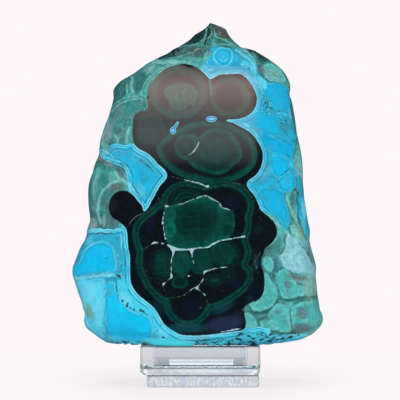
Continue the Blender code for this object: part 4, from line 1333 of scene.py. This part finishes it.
def striped(tree, blue, waver):
    """The blue with pale and dark stripes along its border. On the ramp mid grey leaves the
    blue as it is, white is palest and black darkest."""
    first, last = BLUE_STRIPES[0][0], BLUE_STRIPES[-1][0]
    edge = add(tree, "Attribute", out="Fac", attribute_name="blue_edge")
    edge = add(tree, "Math", {0: edge, 1: waver}, operation="ADD")
    edge = add(tree, "MapRange", {0: edge, 1: first * SHEET_UNIT, 2: last * SHEET_UNIT})
    ramp = add(tree, "ValToRGB", {0: edge}, None)
    for stop in ramp.color_ramp.elements:
        stop.color = (0.5, 0.5, 0.5, 1)
    for step, level in BLUE_STRIPES[:-1]:
        stop = ramp.color_ramp.elements.new((step - first) / (last - first))
        stop.color = (0.5 + level / 2,) * 3 + (1,)
    strength = add(tree, "Attribute", out="Fac", attribute_name="striped")
    for end, code in ((1.0, PALE_STRIPE), (0.0, DARK_STRIPE)):
        share = add(tree, "MapRange", {0: ramp.outputs[0], 1: 0.5, 2: end})
        share = add(tree, "Math", {0: share, 1: strength}, operation="MULTIPLY")
        blue = add(tree, "Mix", {0: share, 6: blue, 7: rgba(code)}, 2, data_type="RGBA")
    return blue


def marked(tree, paints, waver):
    """The green stone with everything that lies over it."""
    colour = paints["green_paint"]
    for name, soft, strength, paint in MARKINGS:
        depth = add(tree, "Attribute", out="Fac", attribute_name=name)
        depth = add(tree, "Math", {0: depth, 1: waver}, operation="ADD")
        steps = {0: depth, 1: -soft * MM, 2: soft * MM, 4: strength}
        share = add(tree, "MapRange", steps, interpolation_type="SMOOTHSTEP")
        over = paints[paint] if paint in paints else rgba(paint)
        colour = add(tree, "Mix", {0: share, 6: colour, 7: over}, 2, data_type="RGBA")
    return colour


def peppered(tree, colour, place):
    """The colour with dark pits and pale flecks where the stone is pitted."""
    pitted = add(tree, "Attribute", out="Fac", attribute_name="pitted")
    noise = {"Vector": place, "Scale": PEPPER_SCALE, "Detail": 3}
    pepper = add(tree, "TexNoise", noise, "Fac")
    for low, high, code in PEPPER:
        share = add(tree, "MapRange", {0: pepper, 1: low, 2: high})
        share = add(tree, "Math", {0: share, 1: pitted}, operation="MULTIPLY")
        colour = add(tree, "Mix", {0: share, 6: colour, 7: rgba(code)}, 2, data_type="RGBA")
    return colour


def polished_stone():
    """Malachite and chrysocolla, sawn flat and polished on the face and tumbled smooth behind:
    opaque, with a glassy gloss, fine growth lines about 0.4 mm apart in the green and a soft
    mottling in the blue. Green stone beside the face is waxy, and broken rims are dull."""
    material, tree = new_material("polished_malachite_chrysocolla")
    place = add(tree, "TexCoord", out="Object")
    waver = add(tree, "TexNoise", {"Vector": place, "Scale": WAVER_SCALE, "Detail": 2}, "Fac")
    waver = {0: waver, 1: WAVER_LOW, 2: WAVER_HIGH, 3: -WAVER, 4: WAVER}
    waver = add(tree, "MapRange", waver)
    paints = grained_paints(tree, place)
    paints["blue_paint"] = striped(tree, paints["blue_paint"], waver)
    colour = peppered(tree, marked(tree, paints, waver), place)

    rough, dark, blue = [
        add(tree, "Attribute", out="Fac", attribute_name=name)
        for name in ("rough", "dark_depth", "blue_depth")
    ]
    grain = add(tree, "TexNoise", {"Vector": place, "Scale": GRAIN_SCALE, "Detail": 6}, "Fac")
    pits = add(tree, "MapRange", {0: grain, 1: PIT_START, 2: PIT_FULL, 4: PIT_DARK})
    pits = add(tree, "Math", {0: pits, 1: rough}, operation="MULTIPLY")
    colour = add(tree, "Mix", {0: pits, 6: colour, 7: rgba(PIT_TONE)}, 2, data_type="RGBA")
    gloss = add(tree, "MapRange", {0: rough, 3: POLISHED, 4: BROKEN})
    hard = add(tree, "Math", {0: dark, 1: blue}, operation="MAXIMUM")
    waxy = add(tree, "MapRange", {0: hard, 1: WAXY_START, 2: WAXY_END, 3: WAXY, 4: 0})
    gloss = add(tree, "Math", {0: gloss, 1: waxy}, operation="MAXIMUM")
    relief = add(tree, "Bump", {"Strength": rough, "Distance": STONE_RELIEF, "Height": grain})
    inputs = {"Base Color": colour, "Roughness": gloss, "IOR": STONE_IOR, "Normal": relief}
    shader = add(tree, "BsdfPrincipled", inputs)
    add(tree, "OutputMaterial", {"Surface": shader}, None)
    return material


def clear_acrylic():
    """Cast acrylic sheet: clear, faintly cool, flame polished with bright sharp edges, and
    frosted by the upright marks of the saw where it was left as cut."""
    material, tree = new_material("cast_acrylic")
    frosted = add(tree, "Attribute", out="Fac", attribute_name="frosted")
    place = add(tree, "TexCoord", out="Object")
    place = add(tree, "Mapping", {"Vector": place, "Scale": SAW_STRETCH})
    marks = add(tree, "TexNoise", {"Vector": place, "Scale": SAW_SCALE, "Detail": 3}, "Fac")
    relief = add(tree, "Bump", {"Strength": frosted, "Distance": SAW_RELIEF, "Height": marks})
    rough = add(tree, "MapRange", {0: frosted, 3: ACRYLIC_POLISHED, 4: ACRYLIC_FROSTED})
    white = add(tree, "MapRange", {0: marks, 1: SAW_LOW, 2: SAW_HIGH})
    low, high = [rgba(code) for code in SAWN_TINTS]
    white = add(tree, "Mix", {0: white, 6: low, 7: high}, 2, data_type="RGBA")
    tint = {0: frosted, 6: rgba(ACRYLIC_TINT), 7: white}
    tint = add(tree, "Mix", tint, 2, data_type="RGBA")
    clear = add(tree, "MapRange", {0: frosted, 1: MILKY_START, 3: 1.0, 4: MILKY_CLEAR})
    inputs = {"Base Color": tint, "Roughness": rough, "IOR": ACRYLIC_IOR, "Normal": relief}
    inputs["Transmission Weight"] = clear
    shader = add(tree, "BsdfPrincipled", inputs)
    add(tree, "OutputMaterial", {"Surface": shader}, None)
    return material


# ---- pieces --------------------------------------------------------------------------------
def new_object(name, points, faces):
    """A mesh of points and faces, as an object in the scene."""
    mesh = bpy.data.meshes.new(name)
    mesh.from_pydata(points.tolist(), [], faces)
    piece = bpy.data.objects.new(name, mesh)
    bpy.context.scene.collection.objects.link(piece)
    return piece


def closed_grid(name, rows, start, end):
    """A closed skin over rows of points that run round a piece, anticlockwise seen from above
    and from the bottom up, each end drawn together on one point."""
    count, around = rows.shape[:2]
    points = np.vstack([rows.reshape(-1, 3), [start], [end]])
    row, column = np.meshgrid(np.arange(count - 1), np.arange(around), indexing="ij")
    after = (column + 1) % around
    low, high = row * around, (row + 1) * around
    quads = np.stack([low + column, low + after, high + after, high + column], axis=-1)
    turn = np.arange(around)
    after = (turn + 1) % around
    first = np.stack([after, turn, np.full(around, count * around)], axis=1)
    top = (count - 1) * around
    last = np.stack([top + turn, top + after, np.full(around, count * around + 1)], axis=1)
    faces = quads.reshape(-1, 4).tolist() + first.tolist() + last.tolist()
    piece = new_object(name, points, faces)
    piece.data.shade_smooth()
    return piece, points


def keep(piece, name, values):
    """Keeps a number or a colour for each point of a piece's mesh, under a name."""
    kind, slot = ("FLOAT", "value") if values.ndim == 1 else ("FLOAT_VECTOR", "vector")
    layer = piece.data.attributes.new(name, kind, "POINT")
    layer.data.foreach_set(slot, np.ascontiguousarray(values, np.float32).ravel())


# How the drawn markings stray, across and down the sheet, as ripples of (strength, size, seed).
UNSTEADY = [
    [(0.5, 3.2 * MM, 51), (0.35, 1.3 * MM, 61)],
    [(0.5, 3.2 * MM, 52), (0.35, 1.3 * MM, 62)],
]
FRONT_FADE = (0, 7 * MM)  # they fade out over this range of y
# Behind, each dome chooses to be blue or green.
CHOICE_SEED = 41
CHOICE_WAVES = [(0.5, 30 * MM, 42)]
CHOICE_SLOPE = 6
CHOICE_BIAS = -1.5
BLUE_EDGE_WAVES = [(0.35, 4 * MM, 24)]
STRIPES = 0.8
STRIPES_LEAST = 0.1
STRIPES_RIGHT = 0.55  # share of the stripes' strength at the right
STRIPES_WAVES = [(0.6, 5 * MM, 25)]
PALE_LINE_WAVES = [(0.35, 2.2 * MM, 53)]
DARK_LINE_WAVES = [(0.2, 1.6 * MM, 54)]
LINE_TINT = (-1.5, 1.5)
EYE_RIM = 0.7  # an eye's dark ring starts this deep, and its pale heart this deep
EYE_HEART = 1.9
DARK_RIM = 0.5  # half width of the pale rim just outside the malachite
DARK_RIM_REACH = 1.6  # how far it follows the malachite past the blue
BORDER_REACH = 1  # an outline's own stripes or growth lines go on this far outside it


def mark(stone, points, owner, gap):
    """Keeps on the stone every depth and paint that its material reads. Those drawn on the
    sheet fade out round the sides; behind, the domes choose their own stone."""
    sheet = on_sheet(points)
    unsteady = sheet + np.stack([ripples(points, waves) for waves in UNSTEADY], axis=-1)
    front = 1 - between(points[:, 1], *FRONT_FADE)

    def faced(depth):
        """A depth drawn on the sheet, fading out round the sides."""
        return depth * front + OUTSIDE * (1 - front)

    dark = faced(outline_depth(sheet, DARK_OUTLINE))
    left = np.maximum(outline_depth(unsteady, TONGUE), outline_depth(unsteady, LEFT_BLUE))
    right = np.maximum(outline_depth(unsteady, RIGHT_BLUE), outline_depth(unsteady, RIDGE_BLUE))
    choice = np.random.default_rng(CHOICE_SEED).uniform(-1, 1, owner.max() + 1)
    behind = CHOICE_SLOPE * (choice[owner] + ripples(points, CHOICE_WAVES)) + CHOICE_BIAS
    blue = np.maximum(left, right) * front + behind * (1 - front)
    ovals = [oval_depth(sheet, *eye) for eye in EYES]
    eyes = faced(np.maximum(np.max(ovals, axis=0), stroke_depth(sheet, *EYE_TAIL)))
    specks = np.max([oval_depth(sheet, *speck) for speck in SPECKS], axis=0)

    tint = between(blue, *LINE_TINT)[:, None]
    keep(stone, "line_paint", linear(LINE_IN_GREEN) * (1 - tint) + linear(LINE_IN_BLUE) * tint)
    keep(stone, "green_paint", green_paint(unsteady, points, front, owner, gap))
    keep(stone, "blue_paint", blue_paint(unsteady, points, front, owner, gap))
    edge = np.where(left > -BORDER_REACH, np.minimum(left, -dark), -dark)
    keep(stone, "blue_edge", (edge + ripples(points, BLUE_EDGE_WAVES)) * SHEET_UNIT)
    stripes = np.clip(STRIPES + ripples(points, STRIPES_WAVES), STRIPES_LEAST, 1)
    stripes = stripes * (1 - CALM_SHARE * patch(sheet, *CALM_SPOT))
    keep(stone, "striped", stripes * np.where(left > -BORDER_REACH, 1, STRIPES_RIGHT) * front)
    pitted = [strength * patch(sheet, *oval) for *oval, strength in PITTED]
    keep(stone, "pitted", np.max(pitted, axis=0) * front * (dark < 0))
    paint, growth = malachite_paint(sheet, points, dark)
    keep(stone, "dark_paint", paint)
    keep(stone, "growth", np.where(dark > -BORDER_REACH, growth * SHEET_UNIT, gap))
    depths = {
        "blue_depth": blue,
        "pale_line": faced(strokes(unsteady, PALE_LINES) + ripples(points, PALE_LINE_WAVES)),
        "dark_line": faced(strokes(unsteady, DARK_LINES) + ripples(points, DARK_LINE_WAVES)),
        "speck": faced(specks),
        "dark_rim": np.minimum(DARK_RIM - np.abs(dark + DARK_RIM), blue + DARK_RIM_REACH),
        "dark_depth": dark,
        "faint_vein": faced(strokes(sheet, FAINT_VEINS)),
        "eye_rim": eyes,
        "eye_depth": eyes - EYE_RIM,
        "eye_heart": eyes - EYE_HEART,
        "pale_vein_and_glint": faced(strokes(sheet, PALE_VEINS_AND_GLINT)),
    }
    for name, depth in depths.items():
        keep(stone, name, depth * SHEET_UNIT)


def make_stone(material):
    """The finished stone: its grid, its wear, and the attributes that its material reads."""
    lump_list = lumps()
    angle, reach, level = stone_grid(lump_list)
    rough, reach, raised, crevice = worn(angle, reach, level)
    rows = placed(angle, reach, level)
    rows[..., 2] += raised
    rows = np.clip(rows, *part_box("stone"))
    tip = (float(flowing(PEAK, AXIS)), 0.0, PEAK)
    stone, points = closed_grid("stone_finished", rows, (0.0, 0.0, SEAT), tip)
    body = on_body(np.append(angle, [0, 0]), np.append(level, [SEAT, PEAK]))
    _, owner, gap = swelling(body, lump_list)
    mark(stone, points, owner, gap)
    keep(stone, "rough", np.append(rough, [1, TIP_ROUGH]))
    keep(stone, "crevice", np.append(crevice, [OUTSIDE, OUTSIDE]) * SHEET_UNIT)
    stone.data.materials.append(material)
    return stone


# ---- stand ---------------------------------------------------------------------------------
CORNER_STEPS = 12
SIDE_STEPS = 8
EASED_STEPS = 5
EASED_REACH = 1.4  # flats are held flat by a point this many easings away from a corner
TRAY_WALL = 5.1 * MM
TRAY_CHAMFER = 1.3 * MM
TRAY_CORNER = 2.2 * MM
TRAY_INNER_CORNER = 1.3 * MM
TRAY_FLOOR = 8.4 * MM
TRAY_BASE_EASING = 0.2 * MM
TRAY_RIM_EASING = 0.45 * MM
TRAY_INNER_EASING = 0.4 * MM
TRAY_FLOOR_EASING = 0.5 * MM
FOOT_CORNER = 2.0 * MM
FOOT_EASING = 0.8 * MM
INNER_RING = 6 * MM  # the first and last rings of a profile lie this far in on their flats
TRAY_FROST = 0.6
TRAY_FROST_HEIGHT = 0.9 * MM
FOOT_FROST = 1.0
FROST_FADE = 0.4 * MM


def rounded_ring(width, depth, radius, height, middle):
    """Points round a rectangle with quarter arcs at its corners, anticlockwise from above."""
    turn = np.linspace(0, math.pi / 2, CORNER_STEPS + 1)
    share = np.linspace(0, 1, SIDE_STEPS, endpoint=False)[1:, None]
    arcs = []
    for corner in range(4):
        at = turn + corner * math.pi / 2
        x = (width / 2 - radius) * (1 if corner in (0, 3) else -1) + radius * np.cos(at)
        y = (depth / 2 - radius) * (1 if corner in (0, 1) else -1) + radius * np.sin(at)
        arcs.append(np.stack([x, y], axis=-1))
    ring = []
    for arc, after in zip(arcs, arcs[1:] + arcs[:1]):
        ring += [arc, arc[-1] + (after[0] - arc[-1]) * share]
    ring = np.vstack(ring)
    return np.column_stack([ring + middle, np.full(len(ring), height)])


def eased_profile(corners):
    """Profile of (inset, height, corner radius) through corners of (inset, height, corner
    radius, easing): each corner becomes a small parabolic arc that starts and ends an easing
    away from it, with one more point beyond each end to keep the flats flat."""
    knots = np.array(corners, float)
    profile = [knots[0, :3]]
    for before, corner, after in zip(knots[:-2], knots[1:-1], knots[2:]):
        back = (before - corner)[:3] / np.linalg.norm((before - corner)[:2]) * corner[3]
        onward = (after - corner)[:3] / np.linalg.norm((after - corner)[:2]) * corner[3]
        profile.append(corner[:3] + back * EASED_REACH)
        for t in np.linspace(0, 1, EASED_STEPS + 1):
            profile.append(corner[:3] + back * (1 - t) ** 2 + onward * t * t)
        profile.append(corner[:3] + onward * EASED_REACH)
    return profile + [knots[-1, :3]]


def turned_block(name, low, high, corners, frost, frost_top, material):
    """A block or tray between two corners of its box: a profile carried round a rounded
    rectangle and closed at the middle of its first and its last level. The saw frosted it by
    a share, up to a height."""
    width, depth = high[0] - low[0], high[1] - low[1]
    middle = ((low[0] + high[0]) / 2, (low[1] + high[1]) / 2)
    profile = eased_profile(corners)
    rings = [
        rounded_ring(width - 2 * inset, depth - 2 * inset, radius, height, middle)
        for inset, height, radius in profile
    ]
    start, end = (*middle, profile[0][1]), (*middle, profile[-1][1])
    piece, points = closed_grid(name, np.array(rings), start, end)
    keep(piece, "frosted", frost * (1 - between(points[:, 2] - frost_top, 0, FROST_FADE)))
    piece.data.materials.append(material)
    return piece


def make_tray(material):
    """The open tray: outside up from its chamfered base, over the rim, down to its floor."""
    low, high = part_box("stand_tray")
    base, top = low[2], high[2]
    corners = [
        (TRAY_CHAMFER + INNER_RING, base, TRAY_CORNER, 0),
        (TRAY_CHAMFER, base, TRAY_CORNER, TRAY_BASE_EASING),
        (0, base + TRAY_CHAMFER, TRAY_CORNER, TRAY_BASE_EASING),
        (0, top, TRAY_CORNER, TRAY_RIM_EASING),
        (TRAY_WALL, top, TRAY_INNER_CORNER, TRAY_INNER_EASING),
        (TRAY_WALL, TRAY_FLOOR, TRAY_INNER_CORNER, TRAY_FLOOR_EASING),
        (TRAY_WALL + INNER_RING, TRAY_FLOOR, TRAY_INNER_CORNER, 0),
    ]
    frost_top = base + TRAY_FROST_HEIGHT
    return turned_block("tray_finished", low, high, corners, TRAY_FROST, frost_top, material)


def make_foot(material):
    """The foot: a slab whose edges are eased."""
    low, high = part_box("stand_foot")
    corners = [
        (INNER_RING, low[2], FOOT_CORNER, 0),
        (0, low[2], FOOT_CORNER, FOOT_EASING),
        (0, high[2], FOOT_CORNER, FOOT_EASING),
        (INNER_RING, high[2], FOOT_CORNER, 0),
    ]
    return turned_block("foot_finished", low, high, corners, FOOT_FROST, high[2], material)


# ---- studio --------------------------------------------------------------------------------
PALE = "#fdf7f9"
FLOOR_RADIUS = 6.0
FLOOR_POINTS = 96
FLOOR_GAP = 0.1 * MM  # a film of air under the foot, so that its underside mirrors
FLOOR_TONE = "#f4f1f1"
FLOOR_MIRRORED_TONE = "#5f5d5d"
# Over this range of distances from the stand the floor goes from this share of plain glow,
# the rest taking shadows, to glow alone.
FLOOR_SHADOW = (0.03, 0.16)
FLOOR_PLAIN = 0.75
THROUGH_FLOOR = 0.87  # brightness of the floor and the room seen through the stand
THROUGH_ROOM = 1.0
ROOM_LIGHT = 0.30
ROOM_MIRRORED = 0.02

# Soft boxes: name, then place, width and height in metres, and watts.
LAMPS = [
    ("left_box", (-0.9, -0.75, 0.55), 0.8, 0.9, 7.5),
    ("right_box", (0.9, -0.75, 0.45), 0.8, 0.9, 6.5),
    ("top_box", (0.0, -0.05, 1.1), 0.9, 0.9, 5),
    ("back_box", (0.2, 1.2, 0.8), 1.0, 0.8, 6),
]
LAMP_AIM = (0, 0, 75 * MM)

# What the upper half of the polished face mirrors: a wall panel behind the eye, by height in
# millimetres, with its red, green and blue brightness.
PANEL_PLACE = -921 * MM
PANEL_SIDES = (-71 * MM, 55 * MM)
PANEL_GLOW = [
    (203, 0, 0, 0), (205.5, 0.04, 0.04, 0.04), (206.6, 0.3, 0.3, 0.3), (209, 0.38, 0.38, 0.37),
    (215, 0.6, 0.59, 0.58), (224, 0.96, 0.95, 0.94), (233, 1.28, 1.26, 1.26),
    (244, 1.25, 1.22, 1.24), (250, 1.13, 1.1, 1.12), (256, 1.5, 1.4, 1.38),
    (262, 2.2, 1.75, 1.65), (268, 2.45, 1.85, 1.7), (275, 3.5, 2.55, 2.3), (285, 4.1, 2.95, 2.7),
    (288, 4, 2.85, 2.6), (294, 3.05, 2.2, 2), (300, 2.15, 1.55, 1.45), (306, 1.8, 1.3, 1.2),
    (420, 0.7, 0.55, 0.5),
]
# What is seen through the stand: a low window behind its middle, and a dull wall behind that.
WINDOW_PLACE = 300 * MM
WINDOW_SIDES = (-20 * MM, 20 * MM)
WINDOW_GLOW = [
    (12, 0.9, 0.93, 0.97), (30, 1.35, 1.38, 1.44), (38, 1, 1.03, 1.07), (39.2, 1.05, 1.08, 1.12),
    (39.5, 1.8, 1.85, 1.9), (40.1, 1.8, 1.85, 1.9), (40.3, 1, 1.03, 1.07), (41, 1, 1.03, 1.07),
    (41.3, 2.2, 2.3, 2.4), (42.3, 2.2, 2.3, 2.4), (55, 1.6, 1.65, 1.7), (300, 1.6, 1.65, 1.7),
]
WALL_PLACE = 320 * MM
WALL_SIDES = (-160 * MM, 160 * MM)
WALL_GLOW = [(0, 0.7, 0.64, 0.7), (110, 0.7, 0.64, 0.7), (150, 1, 0.97, 1)]


def make_floor():
    """A plain pale floor: a disc as bright as the room round it, where soft shadows show only
    close to the stand."""
    around = np.linspace(0, 2 * math.pi, FLOOR_POINTS, endpoint=False)
    ring = FLOOR_RADIUS * np.stack([np.cos(around), np.sin(around), 0 * around], axis=-1)
    ring[:, 2] = -FLOOR_GAP
    floor = new_object("floor", ring, [list(range(FLOOR_POINTS))])
    material, tree = new_material("pale_floor")
    place = add(tree, "TexCoord", out="Object")
    away = add(tree, "VectorMath", {0: place}, "Value", operation="LENGTH")
    start, end = FLOOR_SHADOW
    plain = add(tree, "MapRange", {0: away, 1: start, 2: end, 3: FLOOR_PLAIN, 4: 1.0})
    seen = add(tree, "LightPath", out="Is Camera Ray")
    through = add(tree, "LightPath", out="Is Transmission Ray")
    mirrored = add(tree, "LightPath", out="Is Glossy Ray")
    seen = add(tree, "Math", {0: seen, 1: through}, operation="MAXIMUM")
    plain = add(tree, "Math", {0: plain, 1: seen}, operation="MULTIPLY")
    tone = {0: mirrored, 6: rgba(FLOOR_TONE), 7: rgba(FLOOR_MIRRORED_TONE)}
    tone = add(tree, "Mix", tone, 2, data_type="RGBA")
    matte = add(tree, "BsdfDiffuse", {"Color": tone})
    glow = add(tree, "MapRange", {0: through, 3: 1.0, 4: THROUGH_FLOOR})
    bright = add(tree, "Emission", {"Color": rgba(PALE), "Strength": glow})
    shader = add(tree, "MixShader", {0: plain, 1: matte, 2: bright})
    add(tree, "OutputMaterial", {"Surface": shader}, None)
    floor.data.materials.append(material)


def make_room():
    """The room's own light: pale where it is seen, or seen through the stand, and dim where
    it would only be mirrored."""
    world = bpy.data.worlds.new("room")
    bpy.context.scene.world = world
    world.use_nodes = True
    tree = world.node_tree
    tree.nodes.clear()
    seen = add(tree, "LightPath", out="Is Camera Ray")
    through = add(tree, "LightPath", out="Is Transmission Ray")
    mirrored = add(tree, "LightPath", out="Is Glossy Ray")
    strength = add(tree, "MapRange", {0: mirrored, 3: ROOM_LIGHT, 4: ROOM_MIRRORED})
    for view, glow in ((through, THROUGH_ROOM), (seen, 1.0)):
        strength = add(tree, "Mix", {0: view, 2: strength, 3: glow}, data_type="FLOAT")
    light = add(tree, "Background", {"Color": rgba(PALE), "Strength": strength})
    add(tree, "OutputWorld", {"Surface": light}, None)


def make_lamps():
    """Soft studio light from rectangular boxes, all turned to the middle of the stone: one at
    each side in front, one overhead and one behind."""
    for name, place, width, height, watts in LAMPS:
        data = bpy.data.lights.new(name, "AREA")
        data.shape = "RECTANGLE"
        data.size, data.size_y = width, height
        data.energy = watts
        lamp = bpy.data.objects.new(name, data)
        lamp.location = place
        lamp.visible_glossy = False
        lamp.visible_transmission = False
        lamp.rotation_mode = "QUATERNION"
        aim = Vector(LAMP_AIM) - Vector(place)
        lamp.rotation_quaternion = aim.to_track_quat("-Z", "Y")
        bpy.context.scene.collection.objects.link(lamp)


def glowing_card(name, place, sides, glow_list):
    """An upright grid across the room whose brightness runs between the heights of its list.
    It lights nothing and is not seen directly."""
    glow = np.array(glow_list, float)
    grid_z, grid_x = np.meshgrid(glow[:, 0] * MM, np.array(sides), indexing="ij")
    points = np.stack([grid_x, np.full(grid_x.shape, place), grid_z], axis=-1)
    low = np.arange(len(glow) - 1) * 2
    faces = np.stack([low, low + 2, low + 3, low + 1], axis=-1)
    card = new_object(name, points.reshape(-1, 3), faces.tolist())
    keep(card, "glow", np.repeat(glow[:, 1:], 2, axis=0))
    material, tree = new_material(name)
    colour = add(tree, "Attribute", out="Color", attribute_name="glow")
    light = add(tree, "Emission", {"Color": colour})
    add(tree, "OutputMaterial", {"Surface": light}, None)
    material.cycles.emission_sampling = "NONE"
    card.data.materials.append(material)
    card.visible_camera = False
    card.visible_diffuse = False
    card.visible_shadow = False
    return card


def make_camera():
    """The eye level with the middle of the stone, looking straight at it."""
    data = bpy.data.cameras.new("eye")
    data.sensor_width = SENSOR
    data.lens = SENSOR * SHEET_DEPTH / (SHEET_WIDTH * SHEET_UNIT)
    camera = bpy.data.objects.new("eye", data)
    camera.location = EYE
    camera.rotation_euler = (math.pi / 2, 0, 0)
    bpy.context.scene.collection.objects.link(camera)
    bpy.context.scene.camera = camera


def main():
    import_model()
    acrylic = clear_acrylic()
    pieces = [
        (make_stone(polished_stone()), "stone", "stone"),
        (make_tray(acrylic), "stand_tray", "clear_acrylic"),
        (make_foot(acrylic), "stand_foot", "clear_acrylic"),
    ]
    for piece, node, slot in pieces:
        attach(piece, "root")
        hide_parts(node)
    make_floor()
    make_room()
    make_lamps()
    glowing_card("front_panel", PANEL_PLACE, PANEL_SIDES, PANEL_GLOW).visible_transmission = False
    glowing_card("back_window", WINDOW_PLACE, WINDOW_SIDES, WINDOW_GLOW).visible_glossy = False
    glowing_card("back_wall", WALL_PLACE, WALL_SIDES, WALL_GLOW).visible_glossy = False
    make_camera()
    bpy.context.scene.view_settings.view_transform = "Standard"


main()
